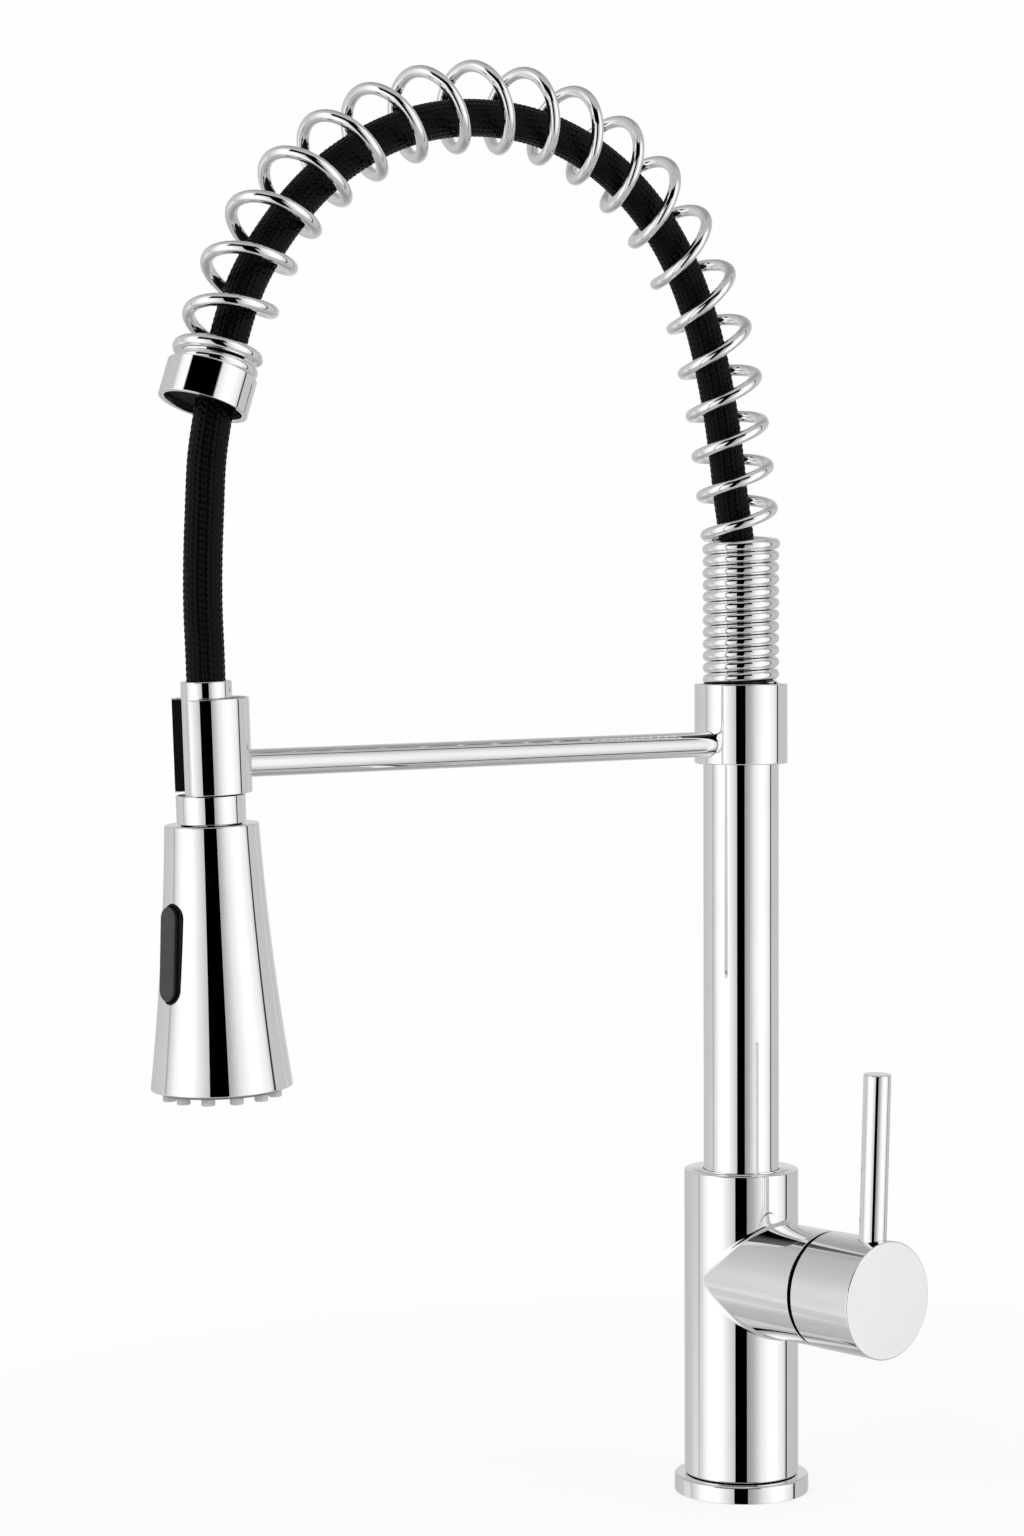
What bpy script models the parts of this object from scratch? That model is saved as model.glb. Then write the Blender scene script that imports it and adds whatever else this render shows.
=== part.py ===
"""Flexible kitchen faucet: a swivel spout with a spring-wound hose, a holder arm and a pull-down spray head.

Metres, +Z up. The origin is the centre of the base on the deck. The spout reaches towards -Y and the handle
stands on the +X side. "Reach" below is the distance from the column's axis towards -Y.
"""
import math

import bmesh
import bpy
import numpy as np
from mathutils import Matrix, Vector

# Clearances and mesh fineness
GAP = 0.0003
OVERRUN = 0.002
MERGE = 0.00001
EDGE = 0.0005
SEGMENTS_LARGE = 32
SEGMENTS_MIDDLE = 20
SEGMENTS_SMALL = 8
FILLET_STEPS = 1
SHARP_ANGLE = math.radians(35)
ROUTE_SAMPLES = 4000

# Base and valve body
FLANGE_RADIUS = 0.0250
FLANGE_HEIGHT = 0.0065
FLANGE_ROUND = 0.0010
SHANK_RADIUS = 0.0160
GASKET_INNER = 0.0195
GASKET_OUTER = 0.0225
GASKET_DEPTH = 0.0020
BODY_RADIUS = 0.02125
BODY_ABOVE_HANDLE = 0.0393
PORT_RADIUS = 0.0045
PORT_OFFSET = 0.0085
PORT_LENGTH = 0.0250
PASSAGE_RADIUS = 0.0026
FEED_RADIUS = 0.0021
STUD_RADIUS = 0.0032
STUD_OFFSET = 0.0105
STUD_DEPTH = 0.0240
FOOT_BORE_RADIUS = 0.0130
FOOT_BORE_DEPTH = 0.0180
SEAT_DEPTH = 0.0020
RETAINER_RADIUS = 0.0020
RETAINER_HEIGHT_ABOVE_BORE = 0.0045

# Branch, cartridge and handle, measured from the column's axis along +X
HANDLE_HEIGHT = 0.0815
BRANCH_RADIUS = 0.0212
BRANCH_END = 0.0449
CARTRIDGE_BORE = 0.0175
CARTRIDGE_SEAT = 0.0100
CARTRIDGE_PORT_OFFSET = 0.0085
CARTRIDGE_FLOOR = 0.0060
CARTRIDGE_LENGTH = 0.0228
CARTRIDGE_WALL = 0.0038
SEAL_RADIUS = 0.0142
SEAL_HEIGHT = 0.0015
DISC_HEIGHT = 0.0040
NUT_HEIGHT = 0.0072
NUT_WALL = 0.0040
CARRIER_POCKET_RADIUS = 0.0058
CARRIER_POCKET_DEPTH = 0.0030
SLIT = 0.0015
HUB_RADIUS = 0.0214
HUB_END = 0.0744
HUB_WALL = 0.0055
HUB_CAVITY_DEPTH = 0.0115
HUB_RELIEF_DEPTH = 0.0019
HUB_RELIEF_LENGTH = 0.0046
STEM_RADIUS = 0.0050
STEM_TIP_RADIUS = 0.0035
STEM_TIP_LENGTH = 0.0055
STEM_SOCKET_DEPTH = 0.0075
HUB_SCREW_RADIUS = 0.0025
HUB_SCREW_RECESS = 0.0010
LEVER_RADIUS = 0.0050
LEVER_ABOVE_HANDLE = 0.0812
LEVER_TOP_REACH = 0.0691
LEVER_LEAN = math.radians(2.1)
LEVER_SOCKET_DEPTH = 0.0105

# Riser, upper ring and holder arm
RISER_RADIUS = 0.0140
RISER_WALL = 0.0012
RISER_BELOW_RING_TOP = 0.0025
SLIP_WASHER_HEIGHT = 0.0008
FOOT_SPIGOT = 0.0160
FOOT_BORE = 0.0080
O_RING_WIRE = 0.0009
O_RING_SIDES = 6
RING_RADIUS = 0.01725
RING_BELOW_ARM = 0.0075
RING_ABOVE_ARM = 0.0220
ARM_RADIUS = 0.0046
ARM_HEIGHT = 0.2795
ARM_SINK = 0.0024
RING_SCREW_RADIUS = 0.0020
POST_BORE = 0.0076
POST_ABOVE_RING = 0.0335
PLUG_BELOW_RING = 0.0020
PLUG_SOCKET_RADIUS = 0.0105
PLUG_SOCKET_HEIGHT = 0.0160
FITTING_BORE = 0.0040

# Spray head axis: it crosses the arm's height at REACH and leans back to the column going down
REACH = 0.2443
SPRAY_LEAN = math.radians(2.27)

# Holder clip, liner, ferrule and spray head, measured along the spray axis from the arm's height
CLIP_TOP = 0.0218
CLIP_BOTTOM = -0.0093
CLIP_RADIUS = 0.0138
CLIP_WALL = 0.0008
CLIP_OPENING_HALF = math.radians(46.5)
CLIP_OPENING_TURN = math.radians(-17.5)
LINER_WALL = 0.0038
FERRULE_RADIUS = 0.0084
FERRULE_TOP = 0.0274
FERRULE_SOCKET = 0.0220
FERRULE_HEAD_HEIGHT = 0.0035
FERRULE_HEAD_LIP = 0.0018
SPRAY_COLLAR_RADIUS = 0.0114
SPRAY_COLLAR_TOP = -0.0096
SHELL_TOP = -0.0193
SHELL_BOTTOM = -0.1062
SHELL_TOP_RADIUS = 0.0155
SHELL_BOTTOM_RADIUS = 0.02345
SHELL_STRAIGHT_SHARE = 0.49
SHELL_WALL = 0.0018
SHELL_ROOF = 0.0030
SHELL_STEPS = 5
SPRAY_WASHER_HEIGHT = 0.0008
SPRAY_WASHER_INSET = 0.0016
WATERWAY_FLOOR = -0.0850
WATERWAY_FLOOR_HEIGHT = 0.0030
WATERWAY_RADIUS = 0.0118
WATERWAY_BORE = 0.0092
CHECK_VALVE_HEIGHT = 0.0090
CHECK_VALVE_BORE = 0.0035
FILTER_HEIGHT = 0.0012
FACE_HEIGHT = 0.0050
FACE_PROUD = 0.0010
MAT_HEIGHT = 0.0030
NUB_RADIUS = 0.00225
NUB_LENGTH = 0.0023
NUB_RING_RADIUS = 0.0178
NUB_COUNT = 12
NUB_PHASE = math.radians(8.6)
AERATOR_RADIUS = 0.0095
AERATOR_LENGTH = 0.0080
AERATOR_BORE = 0.0060
NIPPLE_BORE = 0.0036

# Spray button, on the side of the head that faces away from the column
BUTTON_MIDDLE = -0.0617
BUTTON_TILT = math.radians(4.0)
BUTTON_LENGTH = 0.0324
BUTTON_WIDTH = 0.0094
BUTTON_FACE = 0.0202
BUTTON_HEIGHT = 0.0050
BEZEL_WALL = 0.0005
BEZEL_FACE = 0.0186
BEZEL_HEIGHT = 0.0050
BUTTON_TRAVEL = 0.0015
BUTTON_STEPS = 8
PLUNGER_RADIUS = 0.0018
DIVERTER_RADIUS = 0.0040
BUTTON_SPRING_WIRE_RADIUS = 0.0003
BUTTON_SPRING_RADIUS = 0.0030
BUTTON_SPRING_TURNS = 3

# Spring: close-wound on the riser, open over the arch, the last turns drawn in to sit in the end collar
WIRE_RADIUS = 0.00195
CLOSE_PITCH = 0.00437
CLOSE_MEAN_RADIUS = 0.0121
OPEN_TURNS = 19.43
OPEN_START_TURN = -0.33
END_TURNS = 1.5
END_PITCH = 0.0048
END_MEAN_RADIUS = 0.01135
POINTS_PER_TURN = 9
ARCH_REACH = 0.2445
ARCH_RISE = 0.2014
ARCH_SHARES = (
    (0.000, 0.2636), (0.018, 0.4136), (0.049, 0.5859), (0.120, 0.7746), (0.273, 0.9384), (0.510, 1.0000))
ARCH_FALL_SHARES = ((0.47624, 0.16192), (0.83342, 0.54970))
OPEN_MEAN_RADIUS = 0.0137
OPEN_RADIUS_SHARES = (0.921, 0.968, 1.000, 1.012, 0.934)
OPEN_PHASE_SHARES = (0.0, 0.2046, 0.3691, 0.5221, 0.6697, 0.8259, 1.0)
TURN_LEAN_SHARES = (-0.098, 0.195)

# Spring end collar and the hose
COLLAR_RADIUS = 0.0150
COLLAR_HEIGHT = 0.0125
COLLAR_WALL = 0.0020
COLLAR_HOLE = 0.0104
COLLAR_SEAT_DEPTH = 0.0020
COLLAR_SEAT_RADIUS = 0.0138
COLLAR_BACK = 0.00255
COLLAR_ABOVE_ARM = 0.12825
COLLAR_LEAN = math.radians(19.7)
INSERT_HEIGHT = 0.0060
HOSE_RADIUS = 0.0065
HOSE_RING_SPACING = 0.0210
HOSE_RISE = 0.2197
HOSE_RISING_SHARES = (
    (0.00000, 0.09467), (0.00000, 0.22076), (0.00368, 0.29358), (0.00982, 0.34820), (0.01883, 0.39827),
    (0.02865, 0.46700), (0.04052, 0.54074), (0.05731, 0.61584), (0.07900, 0.69003), (0.10888, 0.76195),
    (0.14941, 0.82931), (0.20221, 0.88894), (0.26607, 0.93810), (0.33811, 0.97360), (0.41629, 0.99454),
    (0.49775, 1.00000))
HOSE_FALLING_SHARES = (
    (0.17062, 0.02078), (0.34457, 0.08201), (0.50687, 0.18261), (0.65169, 0.31602), (0.77570, 0.48223),
    (0.87973, 0.67469), (0.93716, 0.85183))
HOSE_LOWER_BULGE = (
    (0.03704, -0.00234), (0.16179, 0.00094), (0.22495, 0.00208), (0.32632, 0.00272), (0.42768, 0.00316),
    (0.52904, 0.00330), (0.62183, 0.00296), (0.70370, 0.00226), (0.78635, 0.00164), (0.87135, 0.00103),
    (0.95244, 0.00042))

CHROME = ((0.80, 0.81, 0.82), 0.08, 1.0)
BRUSHED_STEEL = ((0.60, 0.60, 0.60), 0.28, 1.0)
BRASS = ((0.72, 0.55, 0.28), 0.30, 1.0)
BLACK_RUBBER = ((0.02, 0.02, 0.02), 0.75, 0.0)
BLACK_PLASTIC = ((0.03, 0.03, 0.03), 0.45, 0.0)
GREY_PLASTIC = ((0.30, 0.31, 0.32), 0.50, 0.0)
WHITE_PLASTIC = ((0.80, 0.80, 0.78), 0.45, 0.0)
CERAMIC = ((0.88, 0.87, 0.83), 0.20, 0.0)
BRAID = ((0.025, 0.025, 0.028), 0.60, 0.0)

ALONG_X = (0.0, math.radians(90), 0.0)
QUARTER_TURN = math.radians(90)
FULL_TURN = 2.0 * math.pi


def clear_scene():
    for old in list(bpy.data.objects):
        bpy.data.objects.remove(old, do_unlink=True)


def collection(name):
    group = bpy.data.collections.new(name)
    bpy.context.scene.collection.children.link(group)
    return group


def material(look, name):
    """Principled material of one sub-part: colour, roughness and metallic value."""
    colour, roughness, metallic = look
    surface = bpy.data.materials.new(name)
    surface.use_nodes = True
    shader = surface.node_tree.nodes["Principled BSDF"]
    shader.inputs["Base Color"].default_value = (*colour, 1.0)
    shader.inputs["Roughness"].default_value = roughness
    shader.inputs["Metallic"].default_value = metallic
    surface.diffuse_color = (*colour, 1.0)
    return surface


clear_scene()
FAUCET = collection("flexible_kitchen_faucet")
CUTTERS = collection("cutters")


def add_object(name, data, frame=None, look=None):
    """Object in the faucet's collection, or with no look a hidden cutter; frame is its place in the world."""
    item = bpy.data.objects.new(name, data)
    (FAUCET if look else CUTTERS).objects.link(item)
    if frame is not None:
        item.matrix_world = frame
    if look:
        data.materials.append(material(look, name))
    else:
        item.hide_render = True
        item.display_type = "WIRE"
    return item


def frame_at(location, rotation=(0.0, 0.0, 0.0)):
    """World matrix of a place: rotation in X, Y, Z order, then location."""
    turn = Matrix.Rotation(rotation[2], 4, "Z") @ Matrix.Rotation(rotation[1], 4, "Y") \
        @ Matrix.Rotation(rotation[0], 4, "X")
    return Matrix.Translation(location) @ turn


def round_corner(before, corner, after, radius):
    """Points of a fillet arc between two straight edges of a profile."""
    one = (Vector(before) - Vector(corner)).normalized()
    two = (Vector(after) - Vector(corner)).normalized()
    half = one.angle(two) / 2.0
    if radius <= 0.0 or half > QUARTER_TURN - MERGE:
        return [tuple(corner)]
    centre = Vector(corner) + (one + two).normalized() * (radius / math.sin(half))
    start = Vector(corner) + one * (radius / math.tan(half)) - centre
    end = Vector(corner) + two * (radius / math.tan(half)) - centre
    sweep = start.angle_signed(end)
    points = []
    for step in range(FILLET_STEPS + 1):
        angle = -sweep * step / FILLET_STEPS
        turned = Vector((start.x * math.cos(angle) - start.y * math.sin(angle),
                         start.x * math.sin(angle) + start.y * math.cos(angle)))
        points.append(tuple(centre + turned))
    return points


def profile_points(corners, closed):
    """Profile from (radius, height) or (radius, height, fillet) corners."""
    points = []
    count = len(corners)
    for index, corner in enumerate(corners):
        fillet = corner[2] if len(corner) > 2 else 0.0
        inner = closed or 0 < index < count - 1
        if fillet > 0.0 and inner:
            before = corners[index - 1][:2]
            after = corners[(index + 1) % count][:2]
            points += round_corner(before, corner[:2], after, fillet)
        else:
            points.append(tuple(corner[:2]))
    return points


def turned(name, corners, frame, look=None, closed=True, segments=SEGMENTS_LARGE):
    """Turned piece: a profile that runs down its outer side, swept round the frame's Z axis."""
    points = profile_points(corners, closed)
    mesh = bpy.data.meshes.new(name)
    edges = [(index, index + 1) for index in range(len(points) - 1)]
    if closed:
        edges.append((len(points) - 1, 0))
    mesh.from_pydata([(radius, 0.0, height) for radius, height in points], edges, [])
    item = add_object(name, mesh, frame, look)
    screw = item.modifiers.new("turn", "SCREW")
    screw.steps = segments
    screw.render_steps = segments
    screw.use_merge_vertices = True
    screw.merge_threshold = MERGE
    screw.use_smooth_shade = True
    return item


def ring(outer, inner, top, bottom, outer_fillet=0.0, inner_fillet=0.0):
    """Corners of a plain ring's section."""
    return [(outer, top, outer_fillet), (outer, bottom, outer_fillet),
            (inner, bottom, inner_fillet), (inner, top, inner_fillet)]


def solid(radius, top, bottom, top_fillet=0.0, bottom_fillet=0.0):
    """Corners of a plain round bar's section, from the axis out and back."""
    return [(0.0, top), (radius, top, top_fillet), (radius, bottom, bottom_fillet), (0.0, bottom)]


def rod(name, radius, top, bottom, frame, look=None, segments=SEGMENTS_MIDDLE, fillet=0.0):
    return turned(name, solid(radius, top, bottom, fillet, fillet), frame, look, closed=False, segments=segments)


def join(item, tool):
    """Adds a tool's shape to a piece."""
    boolean = item.modifiers.new(tool.name, "BOOLEAN")
    boolean.operation = "UNION"
    boolean.solver = "EXACT"
    boolean.object = tool


def cut(item, tool):
    """Adds a cutter to the piece's own collection of cutters, which are all cut out in one step."""
    name = item.name + "_cutters"
    group = bpy.data.collections.get(name)
    if group is None:
        group = bpy.data.collections.new(name)
        CUTTERS.children.link(group)
        boolean = item.modifiers.new(name, "BOOLEAN")
        boolean.operation = "DIFFERENCE"
        boolean.solver = "EXACT"
        boolean.operand_type = "COLLECTION"
        boolean.collection = group
    CUTTERS.objects.unlink(tool)
    group.objects.link(tool)


def bore(item, name, radius, top, bottom, frame, segments=SEGMENTS_SMALL):
    """Cuts a round hole along a frame's Z axis."""
    cut(item, rod(item.name + "_" + name, radius, top, bottom, frame, segments=segments))


def box(name, size, frame, look=None):
    mesh = bpy.data.meshes.new(name)
    shape = bmesh.new()
    bmesh.ops.create_cube(shape, size=1.0)
    bmesh.ops.scale(shape, vec=size, verts=shape.verts)
    shape.to_mesh(mesh)
    shape.free()
    return add_object(name, mesh, frame, look)


def wedge(name, half_angle, reach, top, bottom, frame):
    """Cutter with its edge on the frame's Z axis, that opens to both sides of the -Y direction."""
    across = reach * math.sin(half_angle)
    along = -reach * math.cos(half_angle)
    mesh = bpy.data.meshes.new(name)
    corners = [(x, y, height) for height in (bottom, top) for x, y in ((0.0, 0.0), (-across, along), (across, along))]
    mesh.from_pydata(corners, [], [(2, 1, 0), (3, 4, 5), (0, 1, 4, 3), (1, 2, 5, 4), (2, 0, 3, 5)])
    return add_object(name, mesh, frame)


def tube(name, points, radius, look, resolution):
    """Unbroken tube along a list of world points, with filled ends."""
    curve = bpy.data.curves.new(name, "CURVE")
    curve.dimensions = "3D"
    curve.bevel_depth = radius
    curve.bevel_resolution = resolution
    curve.use_fill_caps = True
    spline = curve.splines.new("POLY")
    spline.points.add(len(points) - 1)
    for slot, point in zip(spline.points, points):
        slot.co = (*point, 1.0)
    return add_object(name, curve, Matrix.Identity(4), look)


def stadium(name, length, width, top, bottom, frame, look=None):
    """Upright block with half-round ends: long along the frame's X, its face along the frame's Z."""
    mesh = bpy.data.meshes.new(name)
    shape = bmesh.new()
    radius = width / 2.0
    straight = (length - width) / 2.0
    rim = []
    for side in (1.0, -1.0):
        for step in range(BUTTON_STEPS + 1):
            angle = side * QUARTER_TURN - math.pi * step / BUTTON_STEPS
            rim.append(shape.verts.new((side * straight + radius * math.cos(angle), radius * math.sin(angle), top)))
    face = shape.faces.new(rim)
    face.normal_update()
    if face.normal.z < 0.0:
        face.normal_flip()
    depth = Vector((0.0, 0.0, bottom - top))
    grown = bmesh.ops.extrude_face_region(shape, geom=[face])
    moved = [entry for entry in grown["geom"] if isinstance(entry, bmesh.types.BMVert)]
    bmesh.ops.translate(shape, verts=moved, vec=depth)
    bmesh.ops.recalc_face_normals(shape, faces=shape.faces)
    shape.to_mesh(mesh)
    shape.free()
    return add_object(name, mesh, frame, look)


def empty(name, frame, parent=None):
    """Joint axis that the moving pieces hang on."""
    pivot = bpy.data.objects.new(name, None)
    FAUCET.objects.link(pivot)
    pivot.empty_display_size = BODY_RADIUS
    if parent:
        pivot.parent = parent
        pivot.matrix_parent_inverse = parent.matrix_world.inverted()
    pivot.matrix_world = frame
    bpy.context.view_layer.update()
    return pivot


def hang(pivot, *items):
    """Parents pieces to a pivot without moving them."""
    bpy.context.view_layer.update()
    for item in items:
        place = item.matrix_world.copy()
        item.parent = pivot
        item.matrix_parent_inverse = pivot.matrix_world.inverted()
        item.matrix_world = place


BODY_TOP = HANDLE_HEIGHT + BODY_ABOVE_HANDLE
LEVER_TOP = HANDLE_HEIGHT + LEVER_ABOVE_HANDLE
RING_BOTTOM = ARM_HEIGHT - RING_BELOW_ARM
RING_TOP = ARM_HEIGHT + RING_ABOVE_ARM
RISER_TOP = RING_TOP - RISER_BELOW_RING_TOP
POST_TOP = RING_TOP + POST_ABOVE_RING
PLUG_BOTTOM = RING_BOTTOM - PLUG_BELOW_RING
COLLAR_TOP_REACH = REACH - COLLAR_BACK
COLLAR_TOP_HEIGHT = ARM_HEIGHT + COLLAR_ABOVE_ARM

UPRIGHT = frame_at((0.0, 0.0, 0.0))
HANDLE_FRAME = frame_at((0.0, 0.0, HANDLE_HEIGHT), ALONG_X)
ARM_FRAME = frame_at((0.0, 0.0, ARM_HEIGHT), (QUARTER_TURN, 0.0, 0.0))
SPRAY_FRAME = frame_at((0.0, -REACH, ARM_HEIGHT), (SPRAY_LEAN, 0.0, 0.0))
COLLAR_FRAME = frame_at((0.0, -COLLAR_TOP_REACH, COLLAR_TOP_HEIGHT), (-COLLAR_LEAN, 0.0, 0.0))
BUTTON_FRAME = SPRAY_FRAME @ frame_at((0.0, 0.0, BUTTON_MIDDLE)) \
    @ Matrix.Rotation(QUARTER_TURN, 4, "X") @ Matrix.Rotation(QUARTER_TURN, 4, "Z") \
    @ Matrix.Rotation(BUTTON_TILT, 4, "Y")

FOOT_BORE_BOTTOM = BODY_TOP - FOOT_BORE_DEPTH
HUB_START = BRANCH_END + SLIT
CARTRIDGE_RADIUS = CARTRIDGE_BORE - GAP
CARTRIDGE_START = CARTRIDGE_SEAT + GAP
CARTRIDGE_END = CARTRIDGE_START + CARTRIDGE_LENGTH
CARTRIDGE_CAVITY = CARTRIDGE_RADIUS - CARTRIDGE_WALL
LOWER_DISC_START = CARTRIDGE_START + CARTRIDGE_FLOOR + GAP
UPPER_DISC_START = LOWER_DISC_START + DISC_HEIGHT + GAP
CARRIER_START = UPPER_DISC_START + DISC_HEIGHT + GAP
NUT_START = CARTRIDGE_END + GAP
NUT_END = NUT_START + NUT_HEIGHT
NUT_INNER = CARTRIDGE_RADIUS - NUT_WALL
CARRIER_END = NUT_END - GAP
TILT_PIVOT_X = HUB_START - SLIT / 2.0
TILT_PIVOT_Z = HANDLE_HEIGHT - HUB_RADIUS + HUB_RELIEF_DEPTH
RING_BORE = RISER_RADIUS + GAP
POST_FLANGE_TOP = RING_TOP - GAP
POST_RADIUS = CLOSE_MEAN_RADIUS * math.cos(math.pi / POINTS_PER_TURN) - WIRE_RADIUS - GAP
CLIP_INNER = CLIP_RADIUS - CLIP_WALL
COLLAR_ROOF = COLLAR_SEAT_DEPTH + COLLAR_WALL
LINER_OUTER = CLIP_INNER - GAP
LINER_INNER = LINER_OUTER - LINER_WALL
ARM_END = REACH - CLIP_RADIUS + CLIP_WALL - GAP


def make_base():
    gasket_top = GASKET_DEPTH + GAP
    turned("base_flange", [
        (FLANGE_RADIUS, FLANGE_HEIGHT, FLANGE_ROUND), (FLANGE_RADIUS, 0.0),
        (GASKET_OUTER + GAP, 0.0), (GASKET_OUTER + GAP, gasket_top),
        (GASKET_INNER - GAP, gasket_top), (GASKET_INNER - GAP, 0.0),
        (SHANK_RADIUS + GAP, 0.0), (SHANK_RADIUS + GAP, FLANGE_HEIGHT)], UPRIGHT, CHROME)
    turned("base_gasket", ring(GASKET_OUTER, GASKET_INNER, GASKET_DEPTH, 0.0), UPRIGHT, BLACK_RUBBER,
           segments=SEGMENTS_MIDDLE)


def make_valve_body():
    body = turned("valve_body", [
        (0.0, BODY_TOP), (BODY_RADIUS, BODY_TOP, EDGE), (BODY_RADIUS, FLANGE_HEIGHT + GAP, EDGE),
        (SHANK_RADIUS, FLANGE_HEIGHT + GAP), (SHANK_RADIUS, 0.0), (0.0, 0.0)], UPRIGHT, CHROME, closed=False)
    branch = rod("branch", BRANCH_RADIUS, BRANCH_END, 0.0, HANDLE_FRAME, segments=SEGMENTS_LARGE)
    join(body, branch)
    bore(body, "cartridge_bore", CARTRIDGE_BORE, BRANCH_END + OVERRUN, CARTRIDGE_SEAT, HANDLE_FRAME, SEGMENTS_LARGE)
    bore(body, "foot_bore", FOOT_BORE_RADIUS, BODY_TOP + OVERRUN, FOOT_BORE_BOTTOM, UPRIGHT, SEGMENTS_MIDDLE)
    bore(body, "riser_seat", RISER_RADIUS + GAP, BODY_TOP + OVERRUN, BODY_TOP - SEAT_DEPTH, UPRIGHT, SEGMENTS_LARGE)
    reach_in = CARTRIDGE_SEAT + OVERRUN
    for name, side in (("cold", -1.0), ("hot", 1.0)):
        below = frame_at((0.0, side * PORT_OFFSET, 0.0))
        bore(body, name + "_inlet", PORT_RADIUS, PORT_LENGTH, -OVERRUN, below)
        bore(body, name + "_rise", PASSAGE_RADIUS, HANDLE_HEIGHT, PORT_LENGTH - OVERRUN, below)
        inward = frame_at((0.0, side * PORT_OFFSET, HANDLE_HEIGHT - PASSAGE_RADIUS), ALONG_X)
        bore(body, name + "_feed", FEED_RADIUS, reach_in, 0.0, inward)
    outlet = frame_at((0.0, 0.0, HANDLE_HEIGHT + CARTRIDGE_PORT_OFFSET), ALONG_X)
    bore(body, "outlet_feed", PASSAGE_RADIUS, reach_in, 0.0, outlet)
    bore(body, "outlet_rise", PORT_RADIUS, FOOT_BORE_BOTTOM + OVERRUN,
         HANDLE_HEIGHT + CARTRIDGE_PORT_OFFSET - PASSAGE_RADIUS / 2.0, UPRIGHT)
    bore(body, "stud_hole", STUD_RADIUS, STUD_DEPTH, -OVERRUN, frame_at((-STUD_OFFSET, 0.0, 0.0)))
    screw_height = FOOT_BORE_BOTTOM + RETAINER_HEIGHT_ABOVE_BORE
    back = frame_at((0.0, 0.0, screw_height), (-QUARTER_TURN, 0.0, 0.0))
    bore(body, "retainer_hole", RETAINER_RADIUS + GAP, BODY_RADIUS + OVERRUN, FOOT_BORE_RADIUS - OVERRUN, back)
    rod("retaining_screw", RETAINER_RADIUS, BODY_RADIUS - EDGE, FOOT_BORE_RADIUS - EDGE, back, BRUSHED_STEEL,
        SEGMENTS_SMALL)


def cartridge_ports(item, depth_start, depth_end):
    """Three water ways through a disc of the cartridge: two inlets and the outlet."""
    places = ((PASSAGE_RADIUS, -PORT_OFFSET), (PASSAGE_RADIUS, PORT_OFFSET), (-CARTRIDGE_PORT_OFFSET, 0.0))
    for index, (down, across) in enumerate(places):
        way = HANDLE_FRAME @ Matrix.Translation((down, across, 0.0))
        bore(item, "port_%d" % index, PASSAGE_RADIUS, depth_end + OVERRUN, depth_start - OVERRUN, way)


def make_cartridge():
    floor = CARTRIDGE_START + CARTRIDGE_FLOOR
    case = turned("cartridge_body", [
        (CARTRIDGE_RADIUS, CARTRIDGE_END, EDGE), (CARTRIDGE_RADIUS, CARTRIDGE_START), (0.0, CARTRIDGE_START),
        (0.0, floor), (CARTRIDGE_CAVITY, floor), (CARTRIDGE_CAVITY, CARTRIDGE_END)], HANDLE_FRAME, WHITE_PLASTIC,
        segments=SEGMENTS_MIDDLE)
    seal_top = CARTRIDGE_START + SEAL_HEIGHT
    bore(case, "seal_seat", SEAL_RADIUS + GAP, seal_top + GAP, CARTRIDGE_START - OVERRUN, HANDLE_FRAME,
         SEGMENTS_MIDDLE)
    seal = rod("cartridge_seal", SEAL_RADIUS, seal_top, CARTRIDGE_START, HANDLE_FRAME, BLACK_RUBBER)
    cartridge_ports(seal, CARTRIDGE_START, seal_top)
    cartridge_ports(case, CARTRIDGE_START, floor)
    lower = rod("ceramic_disc_lower", CARTRIDGE_CAVITY - GAP, LOWER_DISC_START + DISC_HEIGHT, LOWER_DISC_START,
                HANDLE_FRAME, CERAMIC)
    cartridge_ports(lower, LOWER_DISC_START, LOWER_DISC_START + DISC_HEIGHT)
    turned("cartridge_nut", ring(CARTRIDGE_RADIUS, NUT_INNER, NUT_END, NUT_START, EDGE), HANDLE_FRAME, BRASS,
           segments=SEGMENTS_MIDDLE)
    upper = rod("ceramic_disc_upper", CARTRIDGE_CAVITY - GAP, UPPER_DISC_START + DISC_HEIGHT, UPPER_DISC_START,
                HANDLE_FRAME, CERAMIC)
    way = HANDLE_FRAME @ Matrix.Translation((PASSAGE_RADIUS, 0.0, 0.0))
    bore(upper, "mixing_chamber", PORT_OFFSET, UPPER_DISC_START + DISC_HEIGHT / 2.0, UPPER_DISC_START - OVERRUN, way,
         SEGMENTS_MIDDLE)
    pocket_floor = CARRIER_END - CARRIER_POCKET_DEPTH
    carrier = turned("cartridge_carrier", [
        (0.0, pocket_floor), (CARRIER_POCKET_RADIUS, pocket_floor), (CARRIER_POCKET_RADIUS, CARRIER_END),
        (NUT_INNER - GAP, CARRIER_END, EDGE), (NUT_INNER - GAP, CARRIER_START), (0.0, CARRIER_START)],
        HANDLE_FRAME, GREY_PLASTIC, closed=False, segments=SEGMENTS_MIDDLE)
    return upper, carrier


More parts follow.
